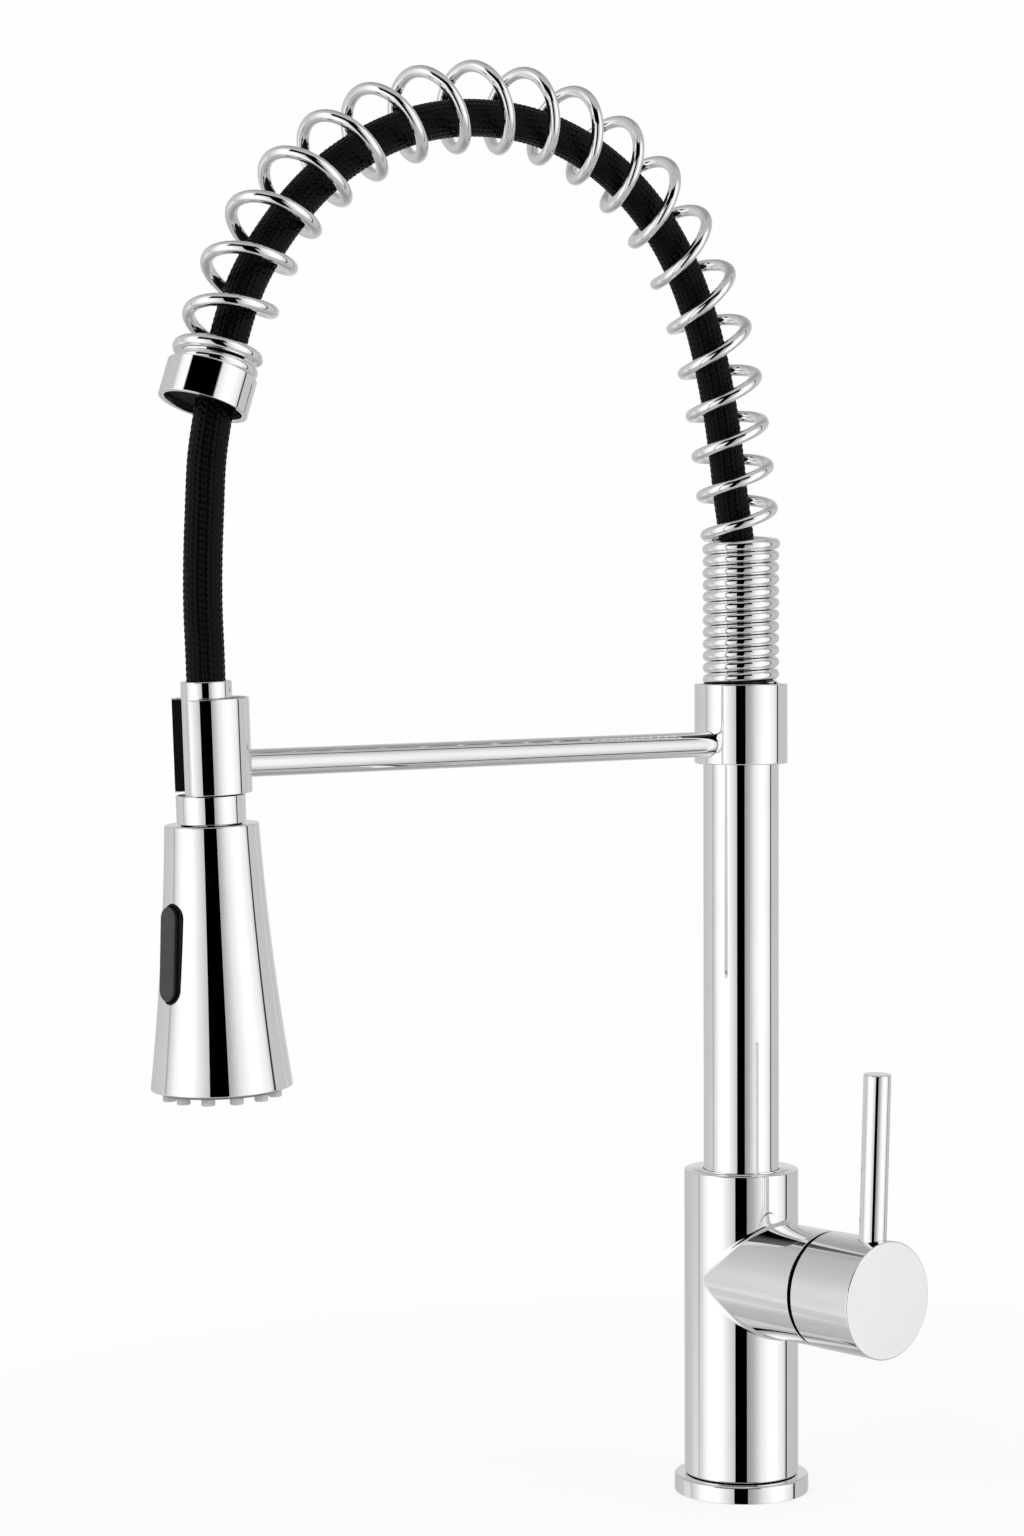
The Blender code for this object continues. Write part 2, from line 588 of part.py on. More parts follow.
def make_handle():
    hub = turned("handle_hub", [
        (0.0, HUB_END), (HUB_RADIUS, HUB_END, EDGE), (HUB_RADIUS, HUB_START, EDGE),
        (HUB_RADIUS - HUB_WALL, HUB_START), (HUB_RADIUS - HUB_WALL, HUB_START + HUB_CAVITY_DEPTH),
        (0.0, HUB_START + HUB_CAVITY_DEPTH)], HANDLE_FRAME, CHROME, closed=False)
    slope = math.atan2(HUB_RELIEF_DEPTH, HUB_RELIEF_LENGTH)
    relief_corner = Vector((HUB_START, 0.0, HANDLE_HEIGHT - HUB_RADIUS + HUB_RELIEF_DEPTH))
    relief_size = HUB_RADIUS * 2.0
    relief_frame = Matrix.Translation(relief_corner) @ Matrix.Rotation(slope, 4, "Y") \
        @ Matrix.Translation((0.0, 0.0, -relief_size / 2.0))
    cut(hub, box("hub_relief", (relief_size, relief_size, relief_size), relief_frame))
    cavity_end = HUB_START + HUB_CAVITY_DEPTH
    stem_end = cavity_end + STEM_SOCKET_DEPTH
    bore(hub, "stem_socket", STEM_RADIUS + GAP, stem_end, cavity_end - OVERRUN, HANDLE_FRAME)
    lever_frame = frame_at((LEVER_TOP_REACH, 0.0, LEVER_TOP), (0.0, LEVER_LEAN, 0.0))
    lever_length = LEVER_TOP - (HANDLE_HEIGHT + HUB_RADIUS) + LEVER_SOCKET_DEPTH
    bore(hub, "lever_socket", LEVER_RADIUS + GAP, 0.0, -lever_length - GAP, lever_frame, SEGMENTS_MIDDLE)
    lever = rod("lever_rod", LEVER_RADIUS, 0.0, -lever_length, lever_frame, CHROME, fillet=EDGE)
    pocket_floor = CARRIER_END - CARRIER_POCKET_DEPTH
    tip = pocket_floor + GAP
    stem = turned("cartridge_stem", [
        (0.0, stem_end - GAP), (STEM_RADIUS, stem_end - GAP), (STEM_RADIUS, tip + STEM_TIP_LENGTH),
        (STEM_TIP_RADIUS, tip + STEM_TIP_LENGTH), (STEM_TIP_RADIUS, tip), (0.0, tip)], HANDLE_FRAME, BRASS,
        closed=False, segments=SEGMENTS_SMALL)
    screw_reach = (cavity_end + stem_end) / 2.0
    under = frame_at((screw_reach, 0.0, HANDLE_HEIGHT), (2.0 * QUARTER_TURN, 0.0, 0.0))
    bore(hub, "screw_hole", HUB_SCREW_RADIUS + GAP, HUB_RADIUS + OVERRUN, STEM_RADIUS - GAP, under)
    screw = rod("hub_grub_screw", HUB_SCREW_RADIUS, HUB_RADIUS - HUB_SCREW_RECESS, STEM_RADIUS + GAP, under,
                BRUSHED_STEEL, SEGMENTS_SMALL)
    return hub, lever, stem, screw


def o_ring(name, radius, wire, height, frame):
    """Rubber ring of a round section."""
    corners = []
    for step in range(O_RING_SIDES):
        angle = -FULL_TURN * step / O_RING_SIDES
        corners.append((radius + wire * math.cos(angle), height + wire * math.sin(angle)))
    return turned(name, corners, frame, BLACK_RUBBER, segments=SEGMENTS_MIDDLE)


def make_riser():
    """Swivel foot, riser tube, slip washer and the plug that carries the spring."""
    seat = BODY_TOP - SEAT_DEPTH
    riser_bottom = seat + SLIP_WASHER_HEIGHT + GAP + GAP
    washer = turned("slip_washer", ring(RISER_RADIUS, FOOT_BORE_RADIUS, seat + GAP + SLIP_WASHER_HEIGHT, seat + GAP),
                    UPRIGHT, BLACK_PLASTIC, segments=SEGMENTS_MIDDLE)
    riser = turned("riser_tube", ring(RISER_RADIUS, RISER_RADIUS - RISER_WALL, RISER_TOP, riser_bottom), UPRIGHT,
                   CHROME)
    outer = FOOT_BORE_RADIUS - GAP
    inner = RISER_RADIUS - RISER_WALL - GAP
    bottom = FOOT_BORE_BOTTOM + GAP
    shoulder = min(outer, inner)
    groove = shoulder - 2.0 * O_RING_WIRE
    screw_groove = RETAINER_HEIGHT_ABOVE_BORE + FOOT_BORE_BOTTOM
    half_screw = RETAINER_RADIUS + GAP
    corners = [(shoulder, riser_bottom + FOOT_SPIGOT, EDGE)]
    ring_heights = [screw_groove + half_screw + (2.0 + 4.0 * index) * O_RING_WIRE for index in (1, 0)]
    for height in ring_heights:
        corners += [(shoulder, height + O_RING_WIRE + GAP), (groove, height + O_RING_WIRE + GAP),
                    (groove, height - O_RING_WIRE - GAP), (shoulder, height - O_RING_WIRE - GAP)]
    screw_depth = FOOT_BORE_RADIUS - EDGE - GAP
    corners += [(shoulder, screw_groove + half_screw), (screw_depth - GAP, screw_groove + half_screw),
                (screw_depth - GAP, screw_groove - half_screw), (shoulder, screw_groove - half_screw),
                (shoulder, bottom, EDGE), (FOOT_BORE, bottom), (FOOT_BORE, riser_bottom + FOOT_SPIGOT)]
    foot = turned("tube_foot", corners, UPRIGHT, BRASS, segments=SEGMENTS_MIDDLE)
    wire = (FOOT_BORE_RADIUS - GAP - groove - GAP) / 2.0
    seals = [o_ring("foot_o_ring_" + place, groove + GAP + wire, wire, height, UPRIGHT)
             for place, height in zip(("upper", "lower"), ring_heights)]
    socket_top = PLUG_BOTTOM + PLUG_SOCKET_HEIGHT
    plug = turned("spring_post", [
        (POST_RADIUS, POST_TOP, EDGE), (POST_RADIUS, POST_FLANGE_TOP), (RISER_RADIUS, POST_FLANGE_TOP),
        (RISER_RADIUS, RISER_TOP + GAP), (inner, RISER_TOP + GAP), (inner, PLUG_BOTTOM),
        (PLUG_SOCKET_RADIUS, PLUG_BOTTOM), (PLUG_SOCKET_RADIUS, socket_top),
        (POST_BORE, socket_top), (POST_BORE, POST_TOP)], UPRIGHT, BLACK_PLASTIC, segments=SEGMENTS_MIDDLE)
    fitting_outer = PLUG_SOCKET_RADIUS - GAP
    hose_start = hose_route()[0][1]
    fitting = turned("hose_lower_fitting", [
        (POST_BORE - GAP, hose_start - GAP), (POST_BORE - GAP, socket_top - GAP),
        (fitting_outer, socket_top - GAP), (fitting_outer, PLUG_BOTTOM + GAP), (FITTING_BORE, PLUG_BOTTOM + GAP),
        (FITTING_BORE, hose_start - GAP)], UPRIGHT, BRASS, segments=SEGMENTS_MIDDLE)
    return (washer, riser, foot, *seals, plug, fitting)


def make_holder():
    """Upper ring, arm, open clip and its liner."""
    hub = turned("arm_hub", ring(RING_RADIUS, RING_BORE, RING_TOP, RING_BOTTOM, EDGE), UPRIGHT, CHROME)
    bore(hub, "arm_hole", ARM_RADIUS + GAP, RING_RADIUS + OVERRUN, RING_BORE - OVERRUN, ARM_FRAME, SEGMENTS_MIDDLE)
    screw_frame = frame_at((0.0, 0.0, ARM_HEIGHT), (-QUARTER_TURN, 0.0, 0.0))
    bore(hub, "screw_hole", RING_SCREW_RADIUS + GAP, RING_RADIUS + OVERRUN, RING_BORE - OVERRUN, screw_frame)
    screw = rod("arm_grub_screw", RING_SCREW_RADIUS, RING_RADIUS - EDGE, RISER_RADIUS + GAP, screw_frame,
                BRUSHED_STEEL, SEGMENTS_SMALL)
    arm = rod("holder_arm", ARM_RADIUS, ARM_END, RING_RADIUS - ARM_SINK, ARM_FRAME, CHROME)
    clip = turned("holder_clip", ring(CLIP_RADIUS, CLIP_INNER, CLIP_TOP, CLIP_BOTTOM, EDGE), SPRAY_FRAME, CHROME)
    bore(clip, "arm_hole", ARM_RADIUS + GAP, ARM_END + OVERRUN, ARM_END - CLIP_WALL - OVERRUN, ARM_FRAME,
         SEGMENTS_MIDDLE)
    liner = turned("clip_liner", ring(LINER_OUTER, LINER_INNER, CLIP_TOP - EDGE, CLIP_BOTTOM + EDGE), SPRAY_FRAME,
                   BLACK_PLASTIC)
    opening_frame = SPRAY_FRAME @ Matrix.Rotation(CLIP_OPENING_TURN, 4, "Z")
    for item in (clip, liner):
        cut(item, wedge(item.name + "_opening", CLIP_OPENING_HALF, CLIP_RADIUS * 2.0, CLIP_TOP + OVERRUN,
                        CLIP_BOTTOM - OVERRUN, opening_frame))
    return hub, screw, arm, clip, liner


def shell_radius(height):
    """Outer radius of the flared spray shell at a height along its axis."""
    share = (SHELL_TOP - height) / (SHELL_TOP - SHELL_BOTTOM)
    bend = SHELL_STRAIGHT_SHARE * share + (1.0 - SHELL_STRAIGHT_SHARE) * share * share
    return SHELL_TOP_RADIUS + (SHELL_BOTTOM_RADIUS - SHELL_TOP_RADIUS) * bend


def make_hose_end():
    """Ferrule with its nipple, and the collar and insert at the spring's free end."""
    socket_floor = FERRULE_TOP - FERRULE_SOCKET
    ferrule_bore = HOSE_RADIUS + GAP
    head_top = SHELL_TOP - SHELL_ROOF - GAP
    head_bottom = head_top - FERRULE_HEAD_HEIGHT
    ferrule = turned("hose_ferrule", [
        (FERRULE_RADIUS, FERRULE_TOP, EDGE), (FERRULE_RADIUS, head_top),
        (FERRULE_RADIUS + FERRULE_HEAD_LIP, head_top), (FERRULE_RADIUS + FERRULE_HEAD_LIP, head_bottom),
        (NIPPLE_BORE, head_bottom), (NIPPLE_BORE, socket_floor), (ferrule_bore, socket_floor),
        (ferrule_bore, FERRULE_TOP)], SPRAY_FRAME, CHROME)
    collar = turned("spring_end_collar", [
        (COLLAR_RADIUS, 0.0, EDGE), (COLLAR_RADIUS, -COLLAR_HEIGHT, EDGE),
        (COLLAR_RADIUS - COLLAR_WALL, -COLLAR_HEIGHT), (COLLAR_RADIUS - COLLAR_WALL, -COLLAR_ROOF),
        (COLLAR_HOLE, -COLLAR_ROOF), (COLLAR_HOLE, -COLLAR_SEAT_DEPTH), (COLLAR_SEAT_RADIUS, -COLLAR_SEAT_DEPTH),
        (COLLAR_SEAT_RADIUS, 0.0)], COLLAR_FRAME, CHROME)
    return ferrule, collar


def rod_circle(name, radius, top, bottom):
    """Cutter or tool of upright rods in a circle, one for each nub of the spray face."""
    mesh = bpy.data.meshes.new(name)
    shape = bmesh.new()
    for index in range(NUB_COUNT):
        angle = NUB_PHASE + FULL_TURN * index / NUB_COUNT
        place = Matrix.Translation((NUB_RING_RADIUS * math.cos(angle), NUB_RING_RADIUS * math.sin(angle),
                                    (top + bottom) / 2.0))
        bmesh.ops.create_cone(shape, cap_ends=True, segments=SEGMENTS_SMALL, radius1=radius, radius2=radius,
                              depth=top - bottom, matrix=place)
    shape.to_mesh(mesh)
    shape.free()
    return add_object(name, mesh, SPRAY_FRAME)


def make_spray_head():
    """Collar, washer, shell, waterway, check valve, filter, face, nozzle mat and aerator."""
    hole = FERRULE_RADIUS + GAP
    seat = SHELL_TOP + GAP
    washer_radius = SPRAY_COLLAR_RADIUS - SPRAY_WASHER_INSET
    recess_top = seat + SPRAY_WASHER_HEIGHT + GAP
    collar = turned("spray_collar", [
        (SPRAY_COLLAR_RADIUS, SPRAY_COLLAR_TOP, EDGE), (SPRAY_COLLAR_RADIUS, seat, EDGE / 2.0),
        (washer_radius + GAP, seat), (washer_radius + GAP, recess_top), (hole, recess_top),
        (hole, SPRAY_COLLAR_TOP)], SPRAY_FRAME, CHROME, segments=SEGMENTS_MIDDLE)
    washer = turned("spray_washer", ring(washer_radius, hole, seat + SPRAY_WASHER_HEIGHT, seat), SPRAY_FRAME,
                    BLACK_RUBBER, segments=SEGMENTS_MIDDLE)
    outline = [(hole, SHELL_TOP)]
    for step in range(SHELL_STEPS + 1):
        height = SHELL_TOP + (SHELL_BOTTOM - SHELL_TOP) * step / SHELL_STEPS
        fillet = EDGE if step in (0, SHELL_STEPS) else 0.0
        outline.append((shell_radius(height), height, fillet))
    roof = SHELL_TOP - SHELL_ROOF
    for step in range(SHELL_STEPS + 1):
        height = SHELL_BOTTOM + (roof - SHELL_BOTTOM) * step / SHELL_STEPS
        outline.append((shell_radius(height) - SHELL_WALL, height))
    outline.append((hole, roof))
    shell = turned("spray_shell", outline, SPRAY_FRAME, CHROME)

    waterway_top = SHELL_TOP - SHELL_ROOF - FERRULE_HEAD_HEIGHT - 2.0 * GAP
    waterway = turned("waterway", [
        (WATERWAY_RADIUS, waterway_top), (WATERWAY_RADIUS, WATERWAY_FLOOR + WATERWAY_FLOOR_HEIGHT),
        (shell_radius(WATERWAY_FLOOR + WATERWAY_FLOOR_HEIGHT) - SHELL_WALL - GAP,
         WATERWAY_FLOOR + WATERWAY_FLOOR_HEIGHT),
        (shell_radius(WATERWAY_FLOOR + WATERWAY_FLOOR_HEIGHT) - SHELL_WALL - GAP, WATERWAY_FLOOR),
        (AERATOR_BORE, WATERWAY_FLOOR), (AERATOR_BORE, WATERWAY_FLOOR + WATERWAY_FLOOR_HEIGHT),
        (WATERWAY_BORE, WATERWAY_FLOOR + WATERWAY_FLOOR_HEIGHT), (WATERWAY_BORE, waterway_top)], SPRAY_FRAME,
        GREY_PLASTIC, segments=SEGMENTS_MIDDLE)
    valve_top = waterway_top - FILTER_HEIGHT - GAP
    valve = turned("check_valve", ring(WATERWAY_BORE - GAP, CHECK_VALVE_BORE, valve_top,
                                       valve_top - CHECK_VALVE_HEIGHT, EDGE), SPRAY_FRAME, WHITE_PLASTIC,
                   segments=SEGMENTS_MIDDLE)
    strainer = turned("filter_screen", ring(WATERWAY_BORE - GAP, CHECK_VALVE_BORE / 2.0, waterway_top,
                                            waterway_top - FILTER_HEIGHT), SPRAY_FRAME, BRUSHED_STEEL,
                      segments=SEGMENTS_MIDDLE)

    face_bottom = SHELL_BOTTOM - FACE_PROUD
    face_top = face_bottom + FACE_HEIGHT
    face_outer = shell_radius(face_top) - SHELL_WALL - GAP
    face = turned("spray_face", ring(face_outer, AERATOR_RADIUS + GAP, face_top, face_bottom, EDGE), SPRAY_FRAME,
                  GREY_PLASTIC)
    mat_bottom = face_top + GAP
    mat = turned("nozzle_mat", ring(shell_radius(mat_bottom + MAT_HEIGHT) - SHELL_WALL - GAP, AERATOR_RADIUS + GAP,
                                    mat_bottom + MAT_HEIGHT, mat_bottom), SPRAY_FRAME, BLACK_RUBBER,
                 segments=SEGMENTS_MIDDLE)
    nub_bottom = face_bottom - NUB_LENGTH
    holes = rod_circle("nub_holes", NUB_RADIUS + GAP, face_top + OVERRUN, face_bottom - OVERRUN)
    cut(face, holes)
    nubs = rod_circle("nubs", NUB_RADIUS, mat_bottom + MAT_HEIGHT / 2.0, nub_bottom)
    join(mat, nubs)
    aerator = turned("aerator", ring(AERATOR_RADIUS, AERATOR_BORE, mat_bottom + AERATOR_LENGTH,
                                     face_bottom, EDGE), SPRAY_FRAME, GREY_PLASTIC, segments=SEGMENTS_MIDDLE)
    return collar, washer, shell, waterway, valve, strainer, face, mat, aerator


def make_button(shell, waterway):
    """Spray button in its rim, the diverter that it works and the small return spring."""
    bezel_back = BEZEL_FACE - BEZEL_HEIGHT
    window = stadium("button_window", BUTTON_LENGTH + 2.0 * GAP, BUTTON_WIDTH + 2.0 * GAP, BUTTON_FACE + OVERRUN,
                     WATERWAY_RADIUS + GAP, BUTTON_FRAME)
    cut(shell, window)
    bezel = stadium("button_bezel", BUTTON_LENGTH, BUTTON_WIDTH, BEZEL_FACE, bezel_back, BUTTON_FRAME, BLACK_PLASTIC)
    opening = stadium("bezel_opening", BUTTON_LENGTH - 2.0 * BEZEL_WALL, BUTTON_WIDTH - 2.0 * BEZEL_WALL,
                      BUTTON_FACE + OVERRUN, bezel_back - OVERRUN, BUTTON_FRAME)
    cut(bezel, opening)
    inset = 2.0 * (BEZEL_WALL + GAP)
    back = BUTTON_FACE - BUTTON_HEIGHT
    button = stadium("spray_button", BUTTON_LENGTH - inset, BUTTON_WIDTH - inset, BUTTON_FACE, back, BUTTON_FRAME,
                     BLACK_PLASTIC)
    bore(waterway, "diverter_seat", DIVERTER_RADIUS + GAP, WATERWAY_RADIUS + OVERRUN, 0.0, BUTTON_FRAME)
    diverter = turned("diverter_sleeve", ring(DIVERTER_RADIUS, PLUNGER_RADIUS + GAP, WATERWAY_RADIUS,
                                              DIVERTER_RADIUS), BUTTON_FRAME, WHITE_PLASTIC, segments=SEGMENTS_SMALL)
    plunger = rod("plunger", PLUNGER_RADIUS, back - GAP, DIVERTER_RADIUS + BUTTON_TRAVEL, BUTTON_FRAME,
                  BRUSHED_STEEL, SEGMENTS_SMALL)
    low = WATERWAY_RADIUS + GAP + BUTTON_SPRING_WIRE_RADIUS
    high = back - GAP - BUTTON_SPRING_WIRE_RADIUS
    steps = BUTTON_SPRING_TURNS * POINTS_PER_TURN
    points = []
    for step in range(steps + 1):
        angle = FULL_TURN * step / POINTS_PER_TURN
        points.append(BUTTON_FRAME @ Vector((BUTTON_SPRING_RADIUS * math.cos(angle),
                                             BUTTON_SPRING_RADIUS * math.sin(angle),
                                             low + (high - low) * step / steps)))
    spring = tube("button_spring", points, BUTTON_SPRING_WIRE_RADIUS, BRUSHED_STEEL, 1)
    return bezel, button, diverter, plunger, spring


def between(start, end, shares):
    """Reach and height a share of the way from one point to another, with a share for each."""
    return tuple(one + (other - one) * share for one, other, share in zip(start, end, shares))


def natural_spline(knots, values):
    """Function that reads a smooth curve through values at rising knots (natural cubic spline)."""
    knots = np.asarray(knots, float)
    values = np.asarray(values, float)
    if values.ndim == 1:
        values = values[:, None]
    count = len(knots)
    steps = np.diff(knots)
    system = np.eye(count)
    right = np.zeros_like(values)
    for row in range(1, count - 1):
        system[row, row - 1] = steps[row - 1]
        system[row, row] = 2.0 * (steps[row - 1] + steps[row])
        system[row, row + 1] = steps[row]
        rise = (values[row + 1] - values[row]) / steps[row] - (values[row] - values[row - 1]) / steps[row - 1]
        right[row] = 6.0 * rise
    bend = np.linalg.solve(system, right)

    def read(where):
        where = np.atleast_1d(np.asarray(where, float))
        cell = np.clip(np.searchsorted(knots, where) - 1, 0, count - 2)
        width = steps[cell][:, None]
        left = (knots[cell + 1] - where)[:, None]
        gone = (where - knots[cell])[:, None]
        return (bend[cell] * left ** 3 + bend[cell + 1] * gone ** 3) / (6.0 * width) \
            + (values[cell] / width - bend[cell] * width / 6.0) * left \
            + (values[cell + 1] / width - bend[cell + 1] * width / 6.0) * gone

    return read


def smooth_route(points):
    """Fine points of a smooth curve through a route in the reach and height plane, with the run up to each."""
    route = np.asarray(points, float)
    chord = np.concatenate([[0.0], np.cumsum(np.linalg.norm(np.diff(route, axis=0), axis=1))])
    fine = natural_spline(chord, route)(np.linspace(0.0, chord[-1], ROUTE_SAMPLES))
    run = np.concatenate([[0.0], np.cumsum(np.linalg.norm(np.diff(fine, axis=0), axis=1))])
    return fine, run


def read_route(fine, run, where):
    return np.array([np.interp(where, run, fine[:, 0]), np.interp(where, run, fine[:, 1])])


def collar_point(above):
    """Reach and height of a point on the end collar's axis, above its top rim."""
    return np.array([COLLAR_TOP_REACH - above * math.sin(COLLAR_LEAN), COLLAR_TOP_HEIGHT + above * math.cos(COLLAR_LEAN)])


def wire_point(centre, along, radius, turn, lean_share):
    """Point of the spring's wire: a turn of the given radius round a centre, square to the way along."""
    tangent = Vector((0.0, -along[0], along[1])).normalized()
    normal = Vector((1.0, 0.0, 0.0)).cross(tangent)
    side = tangent.cross(normal)
    angle = FULL_TURN * turn
    lean = (TURN_LEAN_SHARES[0] * math.cos(angle) + TURN_LEAN_SHARES[1] * math.sin(angle)) * lean_share
    offset = math.cos(angle) * normal + math.sin(angle) * side + lean * tangent
    return Vector((0.0, -centre[0], centre[1])) + offset * radius


def make_spring():
    """One wire: close turns on the riser, open turns over the arch, the last turns into the end collar's seat."""
    arch = [(reach * ARCH_REACH, RING_TOP + rise * ARCH_RISE) for reach, rise in ARCH_SHARES]
    crown = arch[-1]
    arch += [between(crown, collar_point(0.0), shares) for shares in ARCH_FALL_SHARES]
    end_seat = GAP + WIRE_RADIUS - COLLAR_SEAT_DEPTH
    end_start = end_seat + END_TURNS * END_PITCH
    fine, run = smooth_route([*arch, collar_point(end_start)])
    shares = run / run[-1]
    turned_share = natural_spline(np.linspace(0.0, 1.0, len(OPEN_PHASE_SHARES)), OPEN_PHASE_SHARES)(shares)[:, 0]
    radius_knots = np.linspace(0.0, 1.0, len(OPEN_RADIUS_SHARES))
    radius = natural_spline(radius_knots, OPEN_RADIUS_SHARES)(shares)[:, 0] * OPEN_MEAN_RADIUS
    points = []
    wire_seat = RING_TOP + GAP + WIRE_RADIUS
    close_steps = math.floor((arch[0][1] - wire_seat) / CLOSE_PITCH * POINTS_PER_TURN)
    for step in range(close_steps):
        back = (close_steps - step) / POINTS_PER_TURN
        blend = max(0.0, 1.0 - back)
        here = CLOSE_MEAN_RADIUS + (radius[0] - CLOSE_MEAN_RADIUS) * blend
        points.append(wire_point((0.0, arch[0][1] - CLOSE_PITCH * back), (0.0, 1.0), here, OPEN_START_TURN - back, 0.0))
    open_steps = round(OPEN_TURNS * POINTS_PER_TURN)
    for step in range(open_steps + 1):
        where = float(np.interp(step / open_steps, turned_share, run))
        ahead = min(where + WIRE_RADIUS, run[-1])
        behind = max(where - WIRE_RADIUS, 0.0)
        along = read_route(fine, run, ahead) - read_route(fine, run, behind)
        points.append(wire_point(read_route(fine, run, where), along, float(np.interp(where, run, radius)),
                                 OPEN_START_TURN + step / POINTS_PER_TURN, math.sin(math.pi * where / run[-1])))
    down = collar_point(0.0) - collar_point(COLLAR_HEIGHT)
    last_turn = OPEN_START_TURN + open_steps / POINTS_PER_TURN
    end_steps = round(END_TURNS * POINTS_PER_TURN)
    for step in range(1, end_steps + 1):
        share = step / end_steps
        above = end_start + (end_seat - end_start) * share
        here = float(radius[-1]) + (END_MEAN_RADIUS - float(radius[-1])) * share ** 3
        points.append(wire_point(collar_point(above), down, here, last_turn + step / POINTS_PER_TURN, 0.0))
    report_gap("spring", points, WIRE_RADIUS)
    return tube("spring", points, WIRE_RADIUS, CHROME, 1)


def report_gap(name, points, radius):
    """Prints the least gap between a wound tube and itself, measured on its points."""
    places = np.array([tuple(point) for point in points])
    apart = np.linalg.norm(places[:, None] - places[None], axis=2)
    near = np.abs(np.subtract.outer(np.arange(len(places)), np.arange(len(places)))) < POINTS_PER_TURN // 2
    apart[near] = np.inf
    print("%s: %d points, least gap to itself %.5f m" % (name, len(places), apart.min() - 2.0 * radius))


def hose_route():
    """Reach and height of the hose's knots: up the arch, down to the end collar and on to the ferrule."""
    arm = (0.0, ARM_HEIGHT)
    rising = [between(arm, (REACH, ARM_HEIGHT + HOSE_RISE), shares) for shares in HOSE_RISING_SHARES]
    collar = collar_point(0.0)
    falling = [between(rising[-1], collar, shares) for shares in HOSE_FALLING_SHARES]
    lower = [between(collar, (REACH, ARM_HEIGHT), (share, share)) for share, bulge in HOSE_LOWER_BULGE]
    lower = [(reach + bulge, height) for (reach, height), (share, bulge) in zip(lower, HOSE_LOWER_BULGE)]
    return rising + falling + lower


def hose_points():
    """The hose's route in even steps, with one straight step through the insert of the end collar."""
    fine, run = smooth_route(hose_route())
    up = collar_point(1.0) - collar_point(0.0)
    above = (fine - collar_point(0.0)) @ up
    beyond_top = run > run[fine[:, 1].argmax()]
    entry = float(run[beyond_top & (above < -COLLAR_ROOF)][0])
    leave = float(run[beyond_top & (above < -COLLAR_ROOF - INSERT_HEIGHT - 2.0 * GAP)][0])
    places = []
    for start, end in ((0.0, entry), (leave, float(run[-1]))):
        count = max(2, round((end - start) / HOSE_RING_SPACING) + 1)
        places += [start + (end - start) * index / (count - 1) for index in range(count)]
    print("hose: %d points, length %.4f m" % (len(places), run[-1]))
    routed = [read_route(fine, run, where) for where in places]
    return [Vector((0.0, -reach, height)) for reach, height in routed], \
        [Vector((0.0, -reach, height)) for reach, height in (read_route(fine, run, entry), read_route(fine, run, leave))]


def make_hose():
    """Hose from the fitting in the riser to the ferrule, and the insert that grips it in the end collar."""
    points, (entry, leave) = hose_points()
    hose = tube("hose", points, HOSE_RADIUS, BRAID, 4)
    top = -COLLAR_ROOF - GAP
    insert = rod("collar_insert", COLLAR_RADIUS - COLLAR_WALL - GAP, top, top - INSERT_HEIGHT, COLLAR_FRAME,
                 BLACK_RUBBER)
    along = (entry - leave).normalized()
    hose_frame = Matrix.Translation(leave) @ along.to_track_quat("Z", "Y").to_matrix().to_4x4()
    reach = (entry - leave).length
    bore(insert, "hose_hole", HOSE_RADIUS + GAP, reach + INSERT_HEIGHT, -INSERT_HEIGHT, hose_frame, SEGMENTS_MIDDLE)
    return hose, insert


def finish_shapes():
    """Applies each part's modifiers and shades its round faces smooth."""
    bpy.context.view_layer.update()
    graph = bpy.context.evaluated_depsgraph_get()
    for item in [entry for entry in FAUCET.objects if entry.type == "MESH"]:
        mesh = bpy.data.meshes.new_from_object(item.evaluated_get(graph))
        mesh.name = item.name
        item.modifiers.clear()
        item.data = mesh
        mesh.shade_smooth()
        mesh.set_sharp_from_angle(angle=SHARP_ANGLE)


make_base()
make_valve_body()
turn_pieces = make_cartridge()
tilt_pieces = make_handle()
hose, collar_insert = make_hose()
spout_pieces = (*make_riser(), *make_holder(), make_spring(), hose)
hose_end_pieces = (*make_hose_end(), collar_insert)
head_pieces = make_spray_head()
bezel, button, diverter, plunger, button_spring = make_button(head_pieces[2], head_pieces[3])
finish_shapes()
spout_pivot = empty("spout_pivot", UPRIGHT)
slide_pivot = empty("hose_end_pivot", SPRAY_FRAME, spout_pivot)
head_pivot = empty("spray_head_pivot", SPRAY_FRAME, slide_pivot)
button_pivot = empty("spray_button_pivot", BUTTON_FRAME, head_pivot)
turn_pivot = empty("handle_turn_pivot", HANDLE_FRAME)
tilt_pivot = empty("handle_tilt_pivot", frame_at((TILT_PIVOT_X, 0.0, TILT_PIVOT_Z)), turn_pivot)
hang(spout_pivot, *spout_pieces)
hang(slide_pivot, *hose_end_pieces)
hang(head_pivot, *head_pieces, bezel, diverter, button_spring)
hang(button_pivot, button, plunger)
hang(turn_pivot, *turn_pieces)
hang(tilt_pivot, *tilt_pieces)
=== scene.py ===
"""Looks of the flexible kitchen faucet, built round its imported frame.

Metres, +Z up. The column's axis is the Z axis, the spout reaches towards -Y and the handle stands on the +X
side. "Reach" is the distance from the column's axis towards -Y.
"""
import math

import bmesh
import bpy
import numpy as np
from mathutils import Euler, Matrix, Vector


